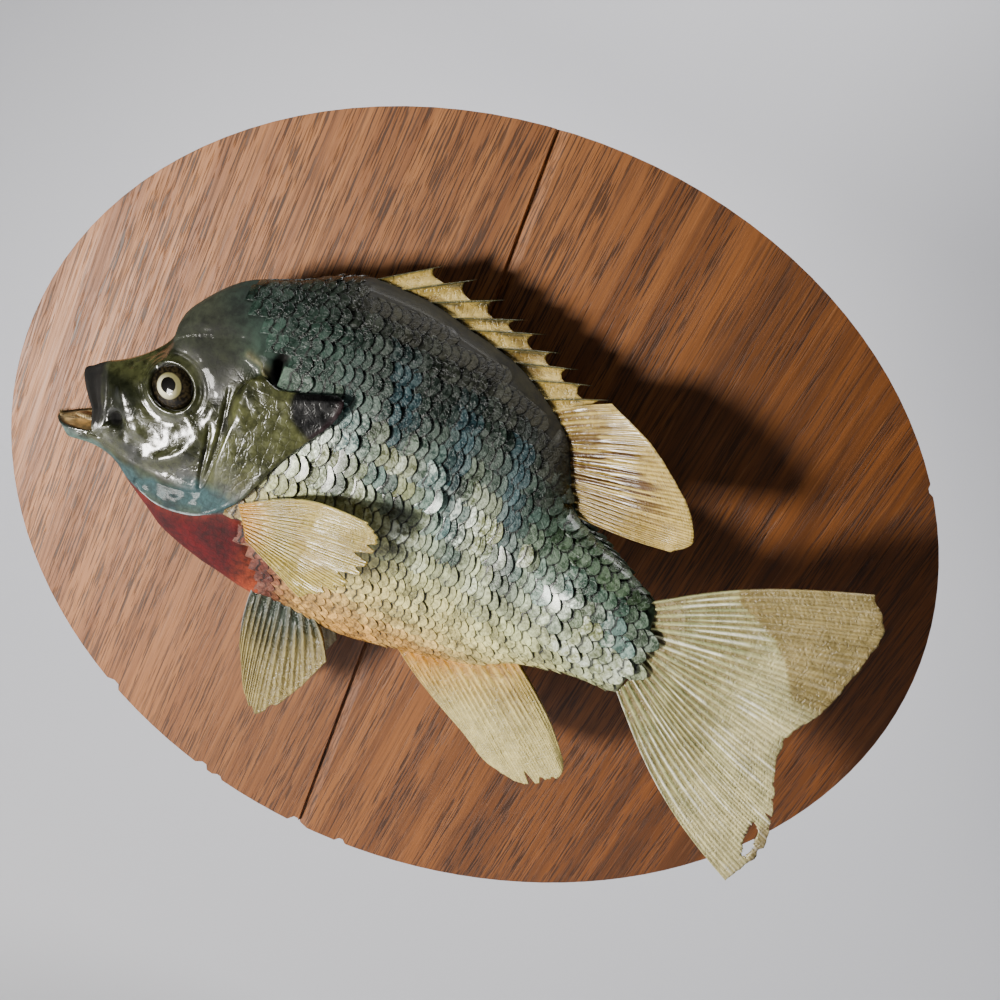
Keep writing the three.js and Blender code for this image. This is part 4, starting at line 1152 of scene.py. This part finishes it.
def fin_marking(name, x, z, u, v, ridge):
    """Colour of a fin: pale rays with painted shade in the troughs between them, and each fin's own base,
    patches and margin; painted shadow behind the spines and painted glints on the tail.
    """
    spots = on_plane(x, z)
    patch = layered(spots, 5.0, 51)
    streak = noise(on_plane(u * 60, v * 3), 1.0, 52)
    colour = mix(GOLD, CREAM, 0.35 + 0.65 * rise(ridge, 0.1, 0.9))
    # Painted shade: the troughs between the rays are darkened, less towards the margin.
    colour = mix(colour, TAN, (1 - rise(ridge, 0.0, 0.4)) * FINS[name]["trough"] * (1 - 0.6 * v))
    if name == "dorsal_fin_spiny":
        w = u * (FINS[name]["rays"] - 1)
        past = w - np.floor(w)
        colour = mix(GOLD, CREAM, 0.35 + 0.65 * rise(past, 0.25, 0.7))
        marble = layered(on_plane(w * 1.1, v * 5), 1.0, 53)
        colour = mix(colour, FIN_BROWN, 0.8 * rise(marble, 0.5, 0.72) * (1 - 0.5 * v))
        # Painted shadow: a dark band just behind each spine, joined with the spine's own dark line.
        beside = 0.75 * hill(past - 0.16, 0.12) * rise(marble, 0.3, 0.6)
        dark = np.maximum(hill(w - np.round(w), 0.085), beside)
        colour = mix(colour, SPINE_GREEN, 0.95 * dark)
        colour = mix(colour, SPINE_GREEN, 0.5 * (1 - rise(v, 0.05, 0.3)))
    if name == "dorsal_fin_soft":
        brown = 0.85 * rise(streak, 0.4, 0.65) * (1 - rise(v, 0.7, 1.0)) * (0.5 + 0.8 * hill(u - 0.4, 0.3))
        colour = mix(colour, FIN_BROWN, np.clip(brown, 0, 1))
        colour = mix(colour, FIN_BROWN, 0.6 * (1 - rise(v, 0.0, 0.25)))
    if name == "anal_fin":
        colour = mix(colour, PALE_GREEN, 0.6 * rise(v, 0.15, 0.5))
        warm = hill(np.hypot(x + 1.5, (z + 26) * 0.8), 9) + 0.8 * (1 - rise(v, 0.04, 0.2))
        colour = mix(colour, ORANGE, np.clip(0.7 * warm, 0, 1))
        brown = 0.6 * rise(streak, 0.5, 0.8) * hill(u - 0.75, 0.22) * (1 - rise(v, 0.4, 0.8))
        colour = mix(colour, FIN_BROWN, brown)
    if name == "caudal_fin":
        past_edge = x - straight(TAIL_EDGE, z) + 2.0 * (patch - 0.5)
        outer = rise(past_edge, -0.5, 0.5) * rise(z, 13.5, 17)
        colour = mix(colour, SILVER_CREAM, 0.75)
        colour = mix(colour, TAIL_GREEN, 0.5 * (1 - rise(x, 56, 74)) + 0.25 * rise(patch, 0.4, 0.7))
        # Painted shade: the troughs between the rays are darkened, most near the root.
        colour = mix(colour, SPINE_GREEN, 0.35 * (1 - rise(ridge, 0.05, 0.35)) * (1 - rise(v, 0.2, 0.6)))
        colour = mix(colour, TAN, 0.55 * (1 - rise(ridge, 0.0, 0.4)) * (1 - 0.5 * v))
        # Painted highlight: near white glints along the tail's ridges.
        glint = rise(streak, 0.5, 0.66) * rise(ridge, 0.35, 0.75) * rise(patch, 0.3, 0.55)
        colour = mix(colour, GLINT, 0.85 * glint)
        strip = HOLE_ACROSS[0] * (x - TAIL_HOLE["x"]) + HOLE_ACROSS[1] * (z - TAIL_HOLE["z"])
        colour = mix(colour, FIN_BROWN, 0.6 * rise(strip, 0.8, 1.6) * rise(-z, 13, 17))
        colour = mix(colour, TAIL_TAN, 0.85 * outer)
        colour = mix(colour, FIN_BROWN, 0.4 * rise(v, 0.93, 1.0) * patch)
    if name.startswith("pectoral"):
        colour = colour * np.array([0.8, 0.86, 0.78])
        colour = mix(colour, PECTORAL_ORANGE, 0.55 * (1 - rise(v, 0.0, 0.3)))
        colour = mix(colour, TAN, 0.35 * rise(patch, 0.45, 0.8))
    if name.startswith("pelvic"):
        colour = mix(colour, PELVIC_GREY, 0.85 - 0.2 * rise(v, 0.5, 1.0))
        colour = mix(colour, BASE_BLUE, (1 - rise(v, 0.1, 0.5)) * (0.5 + 0.4 * patch))
        # Painted shade in the troughs between the rays, near the root.
        colour = mix(colour, SPINE_GREEN, 0.7 * (1 - rise(ridge, 0.1, 0.5)) * (1 - rise(v, 0.25, 0.7)))
        colour = mix(colour, RIM_WHITE, 0.6 * (1 - rise(u, 0.01, 0.035)) * (1 - rise(v, 0.6, 0.9)))
    return colour * (0.86 + 0.28 * streak)[..., None]


def fin(name, material):
    """A fin as a closed thin sheet: both faces carry the rays, and the margin is dipped and torn."""
    data = FINS[name]
    left = not name.endswith("right")
    spiny = name == "dorsal_fin_spiny"
    columns = (data["rays"] - 1) * data["fine"] + 1
    u, share = np.meshgrid(np.linspace(0, 1, columns), np.linspace(0, 1, data["rows"]), indexing="ij")
    w = u * (data["rays"] - 1)
    tears = layered(on_plane(w * 2.2, np.zeros_like(w)), 1.0, 61)
    nicks = rise(noise(on_plane(w * 3.1, np.ones_like(w)), 1.0, 62), 0.72, 0.86)
    if spiny:
        past = w - np.floor(w)
        web = 0.88 - data["notch"] * (1 - (1 - past) ** 2.4)
        reach = np.maximum(web, hill(w - np.round(w), 0.06))
    else:
        reach = 1 - data["notch"] * (0.5 - 0.5 * np.cos(2 * np.pi * w))
    reach = reach - data["ragged"] * (tears - 0.3) - 0.6 * data["ragged"] * nicks
    for at, depth, wide in TEARS.get(name, ()):
        reach = reach - depth * np.clip(1 - np.abs(w - at) / wide, 0, 1) ** 0.6
    v = share * reach
    ridge = fin_ridges(w, v, spiny)
    flat = fin_place(data, u, v)
    hand = 1 if left else -1
    wave = (noise(on_plane(w * 0.8, v * 3), 1.0, 63) - 0.5) * 1.1 * v
    fade = 1 - rise(share, 0.9, 1.0)
    half = 0.46 - 0.24 * v + data["ridge"] * ridge * (1 - data["flat"] * v) * (0.4 + 0.6 * fade)
    side = hand * flat[..., 1] + wave
    front = np.stack([flat[..., 0], side + half, flat[..., 2]], -1)
    back = np.stack([flat[..., 0], side - half, flat[..., 2]], -1)
    keep = np.ones((columns - 1, data["rows"] - 1), bool)
    x, z = flat[..., 0], flat[..., 2]
    if name == "caudal_fin":
        turn = math.radians(TAIL_HOLE["lean"])
        dx, dz = x - TAIL_HOLE["x"], z - TAIL_HOLE["z"]
        across = (dx * math.cos(turn) + dz * math.sin(turn)) / TAIL_HOLE["wide"]
        length = (dz * math.cos(turn) - dx * math.sin(turn)) / TAIL_HOLE["long"]
        rough = 0.3 * (noise(on_plane(x, z), 1.6, 64) - 0.5)
        inside = np.hypot(across, length) + rough < 1
        keep = ~(inside[:-1, :-1] | inside[1:, 1:])
    values = {"marking": fin_marking(name, x, z, u, v, ridge), "ray": ridge, "out": v}
    points, faces, values = sheet_between(bend(front), bend(back), keep, values)
    make_piece(name + "_rays", points, faces, values, (name,), material)


# ------------------------------------------------------------------ eyes, teeth and tongue


def ball_angles(rings, around):
    """Angles from pole to pole as a column, and round the axis as a row."""
    turn = np.linspace(0, 2 * np.pi, around, endpoint=False)[None, :]
    return np.linspace(-np.pi / 2, np.pi / 2, rings)[:, None], turn


def eye(left, material):
    """A glass eye: a round lens, domed in front by a half ellipse, with its iris round the middle."""
    rings, around = 40, 72
    angle, turn = ball_angles(rings, around)
    radius = EYE["radius"] * np.cos(angle)
    depth = np.where(np.sin(angle) > 0, EYE["bulge"], EYE["back"]) * np.sin(angle)
    local = np.stack([radius * np.cos(turn), depth + 0 * turn, radius * np.sin(turn)], -1)
    hand = 1 if left else -1
    local[..., 1] *= -hand
    spin = Matrix.Rotation(hand * math.radians(-EYE["up"]), 3, "X") @ Matrix.Rotation(
        hand * math.radians(-EYE["forward"]), 3, "Z"
    )
    reach = half_width(np.array(EYE["x"]), np.array(EYE["z"])) - EYE["sink"] - EYE["bulge"] / 2
    centre = bend(np.array([EYE["x"], hand * float(reach), EYE["z"]]))
    points = (local.reshape(-1, 3) @ np.array(spin).T) + centre
    faces = [grid_faces(rings, around, closed=True)]
    values = {"EyeUV": 0.5 + 0.5 * (local[..., [0, 2]] / EYE["radius"]).reshape(-1, 2)}
    side = "left" if left else "right"
    faces = outward(points, faces)
    make_piece(f"eye_glass_{side}", points, faces, values, (f"eye_{side}",), material)


def teeth(material):
    """Small cones along both lips: a ring of five points drawn in to a tip, leaning into the mouth."""
    lips = 150
    angle = np.linspace(0, 2 * np.pi, lips, endpoint=False)
    ring = body(np.zeros(lips), angle)[np.abs(np.sin(angle)) >= 0.12]
    inward = THROAT_BACK - ring
    inward /= np.linalg.norm(inward, axis=1)[:, None]
    random = np.random.default_rng(5)
    outwards = ring - np.array([-97.5, 0, 4.5])
    outwards[:, 0] = 0
    outwards /= np.linalg.norm(outwards, axis=1)[:, None]
    tall = (0.9 + 0.5 * random.random(len(ring)))[:, None]
    base = ring + inward * 0.35
    tip = base - outwards * tall * 0.75 + np.array([-0.45, 0, 0]) * tall
    corner = np.linspace(0, 2 * np.pi, 5, endpoint=False)
    circle = 0.16 * np.stack([np.cos(corner), np.sin(corner), 0 * corner], -1)
    low = base[:, None] + outwards[:, None] * 0.3 + circle[None]
    points = np.concatenate([low, tip[:, None]], 1).reshape(-1, 3)
    start = np.arange(len(ring))[:, None] * 6
    k = np.arange(5)
    sides = np.stack([k, (k + 1) % 5, np.full(5, 5)], -1)
    faces = [(sides[None] + start[:, :, None]).reshape(-1, 3), k[::-1][None] + start]
    points = bend(points)
    one = [faces[0][:5], faces[1][:1]]
    make_piece("teeth", points, outward(points, faces, one), {}, (), material)


def tongue(material):
    """The tongue: a long ellipsoid lying on the floor of the mouth, flattened by half."""
    rings, around = 22, 28
    angle, turn = ball_angles(rings, around)
    radius = np.cos(angle)
    lengthwise = np.sin(angle) + 0 * turn
    x = -96.4 + 4.6 * lengthwise
    side = 2.0 * radius * np.cos(turn)
    z = 1.1 + 0.85 * radius * np.sin(turn) + 0.12 * (x + 96) - 0.25 * hill(side, 0.5)
    points = bend(np.stack([x, side, z], -1)).reshape(-1, 3)
    faces = [grid_faces(rings, around, closed=True)]
    make_piece("tongue", points, outward(points, faces), {}, (), material)


# ------------------------------------------------------------------ materials


class Wires:
    """The nodes of one shader tree, with short ways to add and join them."""

    def __init__(self, tree):
        self.tree = tree

    def plug(self, made, inputs):
        """Inputs linked or set by name: an underscore is a space, and _0 is the first socket."""
        for key, value in inputs.items():
            socket = made.inputs[int(key[1:]) if key[0] == "_" else key.replace("_", " ")]
            if isinstance(value, bpy.types.NodeSocket):
                self.tree.links.new(value, socket)
            else:
                socket.default_value = value
        return made

    def node(self, kind, settings=None, **inputs):
        """A node of a kind with its settings and inputs, as its outputs."""
        made = self.tree.nodes.new("ShaderNode" + kind)
        for key, value in (settings or {}).items():
            setattr(made, key, value)
        return self.plug(made, inputs).outputs

    def group(self, tree, **inputs):
        """A group placed with its own values."""
        return self.node("Group", {"node_tree": tree}, **inputs)

    def value(self, name):
        """A mask of the piece."""
        return self.node("Attribute", {"attribute_name": name})["Fac"]

    def marking(self):
        """The painted colour of the piece."""
        return self.node("Attribute", {"attribute_name": "marking"})["Color"]

    def noise(self, place, scale, detail, roughness=0.5, distortion=0.0):
        """A noise field."""
        return self.node(
            "TexNoise", Vector=place, Scale=scale, Detail=detail, Roughness=roughness, Distortion=distortion,
        )["Fac"]

    def math(self, operation, a, b=0.0, clamp=False):
        """A Math node's value."""
        return self.node("Math", {"operation": operation, "use_clamp": clamp}, _0=a, _1=b)[0]

    def times(self, a, b):
        """a multiplied by b."""
        return self.math("MULTIPLY", a, b)

    def plus(self, a, b, clamp=False):
        """The sum of a and b."""
        return self.math("ADD", a, b, clamp)

    def minus(self, a, b):
        """a less b."""
        return self.math("SUBTRACT", a, b)

    def mix(self, share, a, b, blend="MIX"):
        """Colour a where share is 0, b where it is 1."""
        return self.node("Mix", {"data_type": "RGBA", "blend_type": blend}, _0=share, _6=a, _7=b)[2]

    def band(self, value, low, high, out_low=0.0, out_high=1.0):
        """A value mapped smoothly from low..high to out_low..out_high, and held beyond."""
        settings = {"interpolation_type": "SMOOTHSTEP", "clamp": True}
        return self.node("MapRange", settings, _0=value, _1=low, _2=high, _3=out_low, _4=out_high)[0]

    def bump(self, height, strength, distance):
        """The normal of a surface that rises by height."""
        return self.node("Bump", Height=height, Strength=strength, Distance=distance)[0]

    def shade(self, **inputs):
        """The Principled shader's inputs, linked or set."""
        self.plug(self.tree.nodes["Principled BSDF"], inputs)


def new_material(name):
    """A material with its wires, and the Object coordinates of its piece."""
    material = bpy.data.materials.new(name)
    material.use_nodes = True
    wires = Wires(material.node_tree)
    return material, wires, wires.node("TexCoord")["Object"]


def new_group(name, inputs, outputs):
    """A shader node group with named sockets: inputs are (name, type, default), outputs (name, type)."""
    tree = bpy.data.node_groups.new(name, "ShaderNodeTree")
    for label, kind, default in inputs:
        socket = tree.interface.new_socket(label, in_out="INPUT", socket_type="NodeSocket" + kind)
        if default is not None:
            socket.default_value = default
    for label, kind in outputs:
        tree.interface.new_socket(label, in_out="OUTPUT", socket_type="NodeSocket" + kind)
    return tree, Wires(tree), tree.nodes.new("NodeGroupInput").outputs, tree.nodes.new("NodeGroupOutput")


def dye(*bytes_):
    """A painted colour as the four values of a colour socket."""
    return (*[float(part) for part in paint(*bytes_)], 1.0)


def mottle_group():
    """Uneven paint and varnish: a colour darkened and lightened by two sizes of noise, and a height."""
    tree, wires, get, out = new_group(
        "paint_mottle",
        [("Color", "Color", (0.5, 0.5, 0.5, 1)), ("Vector", "Vector", None), ("Scale", "Float", 700.0),
         ("Strength", "Float", 0.5)],
        [("Color", "Color"), ("Fac", "Float"), ("Height", "Float")],
    )
    fine = wires.noise(get["Vector"], get["Scale"], 5.0, 0.62)
    wide = wires.noise(get["Vector"], wires.times(get["Scale"], 0.21), 3.0, 0.55)
    fine_part = wires.times(wires.band(fine, 0.32, 0.68), 0.55)
    wide_part = wires.times(wires.band(wide, 0.36, 0.66), 0.45)
    both = wires.plus(fine_part, wide_part)
    gain = wires.times(wires.minus(both, 0.5), get["Strength"])
    gain = wires.plus(wires.times(gain, 1.7), 1.0)
    scaled = wires.node("VectorMath", {"operation": "SCALE"}, _0=get["Color"], Scale=gain)[0]
    wires.plug(out, {"Color": scaled, "Fac": both, "Height": fine})
    return tree


def wrinkle_group():
    """Dried skin: the height of fine creases, from noise folded at its middle, over small pores."""
    tree, wires, get, out = new_group(
        "dried_wrinkles",
        [("Vector", "Vector", None), ("Scale", "Float", 900.0)],
        [("Height", "Float"), ("Crease", "Float")],
    )
    folds = wires.noise(get["Vector"], get["Scale"], 4.0, 0.5, 0.6)
    crease = wires.band(wires.math("ABSOLUTE", wires.minus(folds, 0.5)), 0.0, 0.09, 1.0, 0.0)
    pore_scale = wires.times(get["Scale"], 1.6)
    pores = wires.node("TexVoronoi", {"feature": "F1"}, Vector=get["Vector"], Scale=pore_scale)
    height = wires.minus(wires.times(pores["Distance"], 0.5), crease)
    wires.plug(out, {"Height": height, "Crease": crease})
    return tree


def skin_material(mottle, wrinkles):
    """Varnished skin: its marking under mottling, tiny scales on the gill cover, creases darkened as painted
    shade, and pores.
    """
    material, wires, place = new_material("painted_skin")
    gloss = wires.value("gloss")
    mottled = wires.group(mottle, Color=wires.marking(), Vector=place, Scale=620.0, Strength=0.75)
    crease = wires.group(wrinkles, Vector=place, Scale=420.0)
    squeezed = wires.node("Mapping", {"vector_type": "POINT"}, Vector=place, Scale=(1.0, 0.15, 0.85))[0]
    tiny = wires.node(
        "TexVoronoi", {"feature": "DISTANCE_TO_EDGE"}, Vector=squeezed, Scale=520.0, Randomness=0.55,
    )
    seam = wires.times(wires.band(tiny["Distance"], 0.0, 0.13, 1.0, 0.0), wires.value("small_scales"))
    dark = wires.mix(1.0, mottled["Color"], (0.5, 0.5, 0.42, 1), "MULTIPLY")
    colour = wires.mix(wires.times(seam, 0.4), mottled["Color"], dark)
    # Painted shade: the creases are darkened.
    colour = wires.mix(wires.times(crease["Crease"], 0.14), colour, dark)
    rough = wires.band(gloss, 0.0, 1.0, 0.75, 0.14)
    rough = wires.plus(rough, wires.times(mottled["Fac"], 0.12), clamp=True)
    height = wires.minus(wires.times(crease["Height"], 0.25), wires.times(seam, 0.3))
    height = wires.plus(height, wires.times(mottled["Height"], 0.8))
    wires.shade(
        Base_Color=colour, Roughness=rough, Coat_Weight=wires.times(gloss, 0.5), Coat_Roughness=0.1,
        Specular_IOR_Level=0.3, Normal=wires.bump(height, 0.45, 0.00018),
    )
    return material


def scale_material(mottle, wrinkles):
    """Varnished scales: marking by the scale, silvery paint with painted glints, painted shade along the
    edge of the scale above, and a thin rim of painted shade.
    """
    material, wires, place = new_material("painted_scales")
    gloss, outline = wires.value("gloss"), wires.value("outline")
    mottled = wires.group(mottle, Color=wires.marking(), Vector=place, Scale=900.0, Strength=0.8)
    # Partly silvery paint, partly painted highlight: near white mixed in along the flank's band of glints.
    silver_and_painted_glint = wires.times(wires.value("silver_and_glint"), wires.band(wires.value("tone"), 0.0, 0.8, 0.35, 1.0))
    silver_and_painted_glint = wires.times(silver_and_painted_glint, wires.band(mottled["Fac"], 0.25, 0.8))
    colour = wires.mix(wires.times(silver_and_painted_glint, 0.8), mottled["Color"], dye(222, 230, 220))
    # Painted shade along the edge of the scale that lies over this one.
    gap_shade = wires.band(wires.math("ABSOLUTE", wires.value("buried")), 0.0, 0.23, 1.0, 0.0)
    colour = wires.mix(wires.times(wires.times(gap_shade, outline), 0.96), colour, dye(9, 10, 8))
    # Painted shade: a thin dark rim along each scale's rear edge and over its walls.
    rim = wires.band(wires.value("rear_edge"), -0.04, 0.07, 1.0, 0.0)
    colour = wires.mix(wires.times(wires.times(rim, outline), 0.7), colour, dye(20, 22, 18))
    rough = wires.band(mottled["Fac"], 0.2, 0.9, 0.24, 0.44)
    rough = wires.plus(rough, wires.band(gloss, 0.0, 1.0, 0.3, 0.0), clamp=True)
    crease = wires.group(wrinkles, Vector=place, Scale=700.0)
    height = wires.plus(mottled["Height"], wires.times(crease["Height"], 0.5))
    wires.shade(
        Base_Color=colour, Roughness=rough, Metallic=wires.times(silver_and_painted_glint, 0.4),
        Coat_Weight=wires.times(gloss, 0.3), Coat_Roughness=0.14, Specular_IOR_Level=0.4,
        Normal=wires.bump(height, 0.6, 0.0003),
    )
    return material


def fin_material(mottle, wrinkles):
    """Dried fins: marking over the rays with painted shade in their troughs and creases, fine cross folds,
    and an uneven varnish.
    """
    material, wires, place = new_material("painted_fins")
    ray, out = wires.value("ray"), wires.value("out")
    mottled = wires.group(mottle, Color=wires.marking(), Vector=place, Scale=500.0, Strength=0.3)
    crease = wires.group(wrinkles, Vector=place, Scale=500.0)
    joints = wires.times(wires.math("SINE", wires.times(out, 330.0)), wires.band(out, 0.25, 0.7))
    shadow = wires.mix(1.0, mottled["Color"], (0.42, 0.34, 0.22, 1), "MULTIPLY")
    # Painted shade in the creases and in the troughs between the rays.
    trough_and_crease_shade = wires.times(crease["Crease"], 0.1)
    trough_and_crease_shade = wires.math("MAXIMUM", trough_and_crease_shade, wires.band(ray, 0.0, 0.35, 0.28, 0.0))
    height = wires.plus(crease["Height"], wires.times(joints, 0.15))
    height = wires.plus(height, wires.times(ray, 0.5))
    height = wires.plus(height, mottled["Height"])
    wires.shade(
        Base_Color=wires.mix(trough_and_crease_shade, mottled["Color"], shadow),
        Roughness=wires.band(mottled["Fac"], 0.25, 0.8, 0.22, 0.4),
        Coat_Weight=0.45, Coat_Roughness=0.14, Specular_IOR_Level=0.45,
        Normal=wires.bump(height, 0.5, 0.0003),
    )
    return material


def eye_material():
    """A painted glass eye: black pupil set forward of the middle, an iris ring going from olive-grey to
    cream towards its lower left as painted light, dark brown outside.
    """
    material, wires, place = new_material("glass_eye")
    uv = wires.node("UVMap", {"uv_map": "EyeUV"})[0]

    def distance_to(x, z):
        return wires.node("VectorMath", {"operation": "DISTANCE"}, _0=uv, _1=(x, z, 0.0))["Value"]

    flecks = wires.noise(place, 1500.0, 3.0)
    wobble = wires.times(wires.minus(flecks, 0.5), 0.02)
    pupil = wires.plus(distance_to(0.485, 0.51), wobble)
    iris = wires.plus(distance_to(0.5, 0.495), wobble)
    # Painted light: the iris ring is painted cream towards its lower left, the lamp's side, and olive-grey
    # away from it.
    painted_lit_side = wires.band(distance_to(0.42, 0.40), 0.05, 0.34, 1.0, 0.0)
    ring = wires.mix(painted_lit_side, dye(112, 108, 80), dye(240, 236, 208))
    brown = wires.mix(wires.band(flecks, 0.4, 0.7), dye(14, 12, 9), dye(48, 42, 30))
    colour = wires.mix(wires.band(iris, 0.268, 0.298), ring, brown)
    colour = wires.mix(wires.band(pupil, 0.166, 0.184, 1.0, 0.0), colour, dye(8, 7, 6))
    wires.shade(
        Base_Color=colour, Roughness=0.42, Specular_IOR_Level=0.02, Coat_Weight=0.3, Coat_Roughness=0.03,
        Normal=wires.bump(flecks, 0.12, 0.0001),
    )
    return material


def mouth_material(name, colour, mottle):
    """Bone and dried flesh in the mouth: one colour under mottling, half glossy."""
    material, wires, place = new_material(name)
    mottled = wires.group(mottle, Color=colour, Vector=place, Scale=900.0, Strength=0.9)
    wires.shade(
        Base_Color=mottled["Color"], Roughness=wires.band(mottled["Fac"], 0.2, 0.8, 0.3, 0.55),
        Normal=wires.bump(mottled["Height"], 0.5, 0.0002),
    )
    return material


GRAIN_LEAN = 3.1  # degrees that the grain leans to -X at the top


def board_material():
    """Red-brown veneer: bands of colour and dark pores drawn out along the grain, under satin lacquer; as
    painted light it is paler towards -X, the lamp's side.
    """
    material, wires, place = new_material("mahogany_veneer")
    lean = (0, -math.radians(GRAIN_LEAN), 0)
    turned = wires.node("Mapping", {"vector_type": "POINT"}, Vector=place, Rotation=lean)[0]

    def stretched(across, lengthwise, detail, offset):
        mapped = wires.node(
            "Mapping", {"vector_type": "POINT"}, Vector=turned, Scale=(across, across, lengthwise),
            Location=(offset, offset, offset),
        )[0]
        return wires.noise(mapped, 1.0, detail, 0.6)

    bands = stretched(170.0, 4.0, 4.0, 3.0)
    streaks = stretched(1750.0, 34.0, 4.0, 11.0)
    fibres = stretched(3400.0, 70.0, 3.0, 23.0)
    pores = stretched(2300.0, 80.0, 2.0, 31.0)
    pore_beds = stretched(260.0, 12.0, 2.0, 47.0)
    clouds = wires.noise(turned, 9.0, 2.0)
    # Painted light: the veneer's two colours are paler towards -X, where the lamp is nearer, and deeper
    # towards +X.
    warm = wires.band(wires.node("SeparateXYZ", Vector=turned)["X"], -0.12, 0.10)
    pale = wires.mix(warm, dye(170, 120, 84), dye(126, 80, 50))
    deep = wires.mix(warm, dye(138, 92, 62), dye(88, 54, 33))
    pore = wires.times(wires.band(pores, 0.5, 0.6), wires.band(pore_beds, 0.3, 0.55))
    colour = wires.mix(wires.band(bands, 0.36, 0.66), pale, deep)
    for mask, strength, tint in (
        (wires.band(streaks, 0.5, 0.68), 0.6, dye(62, 40, 27)),
        (wires.band(streaks, 0.28, 0.44, 1.0, 0.0), 0.4, dye(168, 122, 90)),
        (wires.band(fibres, 0.45, 0.75), 0.35, dye(80, 52, 36)),
        (pore, 0.8, dye(36, 23, 16)),
        (wires.band(clouds, 0.4, 0.7), 0.22, dye(88, 58, 38)),
    ):
        colour = wires.mix(wires.times(mask, strength), colour, tint)
    height = wires.minus(wires.times(fibres, 0.4), pore)
    wires.shade(
        Base_Color=colour, Roughness=wires.band(streaks, 0.3, 0.7, 0.46, 0.62),
        Normal=wires.bump(height, 0.45, 0.00015),
    )
    return material


# ------------------------------------------------------------------ the board


EDGE_EASE = 0.45  # width of the bevel on the board's edges


def board(material):
    """The board's CAD solid, welded, with its edges eased by a small bevel."""
    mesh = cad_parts["board"].data.copy()
    mesh.name = "oval_board"
    piece = place_object("oval_board", mesh)
    made = bmesh.new()
    made.from_mesh(mesh)
    bmesh.ops.remove_doubles(made, verts=made.verts, dist=1e-6)
    bmesh.ops.dissolve_limit(made, angle_limit=math.radians(0.4), verts=made.verts, edges=made.edges)
    made.to_mesh(mesh)
    made.free()
    mesh.materials.clear()
    mesh.materials.append(material)
    ease = piece.modifiers.new("eased_edges", "BEVEL")
    ease.width = EDGE_EASE * MM
    ease.segments = 3
    ease.limit_method = "ANGLE"
    ease.angle_limit = math.radians(50)
    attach(piece, "root")
    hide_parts("board")


# ------------------------------------------------------------------ stage, lights and camera

CAMERA_PLACE = Vector((-18.62, -230.11, 90.86)) * MM
CAMERA_RIGHT = Vector((0.9117, 0.0558, 0.4070))
CAMERA_LOOK = Vector((0.0830, 0.9453, -0.3156))
CAMERA_LENS, CAMERA_SENSOR = 32.4, 36  # in mm
FLOOR_DROP = 0.16  # metres from the board's lowest point to the floor
WALL_AWAY = 0.9


def camera():
    """The camera: near the board, above its middle, looking down at it and leaning to its left."""
    data = bpy.data.cameras.new("camera")
    data.lens = CAMERA_LENS
    data.sensor_width = CAMERA_SENSOR
    data.clip_start = 0.01
    made = place_object("camera", data)
    look = CAMERA_LOOK.normalized()
    right = (CAMERA_RIGHT - look * CAMERA_RIGHT.dot(look)).normalized()
    up = right.cross(look)
    turn = Matrix((right, up, -look)).transposed().to_4x4()
    made.matrix_world = Matrix.Translation(CAMERA_PLACE) @ turn
    bpy.context.scene.camera = made


def stage():
    """A pale floor that sweeps up behind into a wall by a quarter circle."""
    floor_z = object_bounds()[0][2] - FLOOR_DROP
    radius, width, front, high = 0.5, 6.0, -2.5, 3.0
    turn = np.linspace(0, np.pi / 2, 24)
    y = np.concatenate([[front], WALL_AWAY - radius + radius * np.sin(turn), [WALL_AWAY]])
    z = np.concatenate([[0], radius - radius * np.cos(turn), [high]]) + floor_z
    points = np.concatenate([np.stack([np.full_like(y, side), y, z], -1) for side in (-width, width)])
    faces = grid_faces(2, len(y))
    mesh = bpy.data.meshes.new("sweep")
    mesh.from_pydata(points.tolist(), [], faces.tolist())
    mesh.polygons.foreach_set("use_smooth", np.ones(len(faces), bool))
    material, wires, place = new_material("pale_stage")
    colour = wires.mix(wires.noise(place, 3.0, 2.0), dye(206, 207, 212), dye(214, 214, 217))
    wires.shade(Base_Color=colour, Roughness=0.8)
    mesh.materials.append(material)
    place_object("sweep", mesh)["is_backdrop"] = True


def area_light(name, place, target, size, power, colour, spread=180):
    """A square area light at place, facing target, its beam spread over so many degrees."""
    data = bpy.data.lights.new(name, "AREA")
    data.size = size
    data.energy = power
    data.color = colour
    data.spread = math.radians(spread)
    made = place_object(name, data)
    made.location = place
    made.rotation_euler = (Vector(target) - Vector(place)).to_track_quat("-Z", "Y").to_euler()


def lights():
    """One lamp to the front left for the cast shadows, a wide weak fill, and a lamp for the backdrop."""
    area_light("key", (-0.337, -0.415, -0.145), (0.0, -0.02, 0), 0.10, 5.0, (1.0, 0.96, 0.9))
    area_light("fill", (-0.5, -1.2, -0.05), (0, 0, 0), 1.0, 0.4, (0.95, 0.97, 1.0))
    area_light("backdrop", (0.0, 0.12, 1.5), (0, 0.84, -0.2), 0.8, 14.0, (1.0, 0.99, 0.98), 95)
    world = bpy.data.worlds.new("surroundings")
    bpy.context.scene.world = world
    world.use_nodes = True
    sky = world.node_tree.nodes["Background"].inputs
    sky["Color"].default_value = (0.88, 0.92, 1.0, 1)
    sky["Strength"].default_value = 0.01


# ------------------------------------------------------------------ the whole


def build():
    """Every piece with its material, and then the stage and its lights."""
    camera()
    mottle, wrinkles = mottle_group(), wrinkle_group()
    skin(skin_material(mottle, wrinkles))
    flank = Flank()
    plates = scale_material(mottle, wrinkles)
    coat("scales_left", flank, True, plates)
    coat("scales_right", flank, False, plates)
    sheets = fin_material(mottle, wrinkles)
    for name in FINS:
        fin(name, sheets)
    glass = eye_material()
    for left in (True, False):
        eye(left, glass)
    teeth(mouth_material("teeth_bone", dye(92, 78, 52), mottle))
    tongue(mouth_material("tongue_flesh", dye(198, 176, 138), mottle))
    board(board_material())
    stage()
    lights()


build()
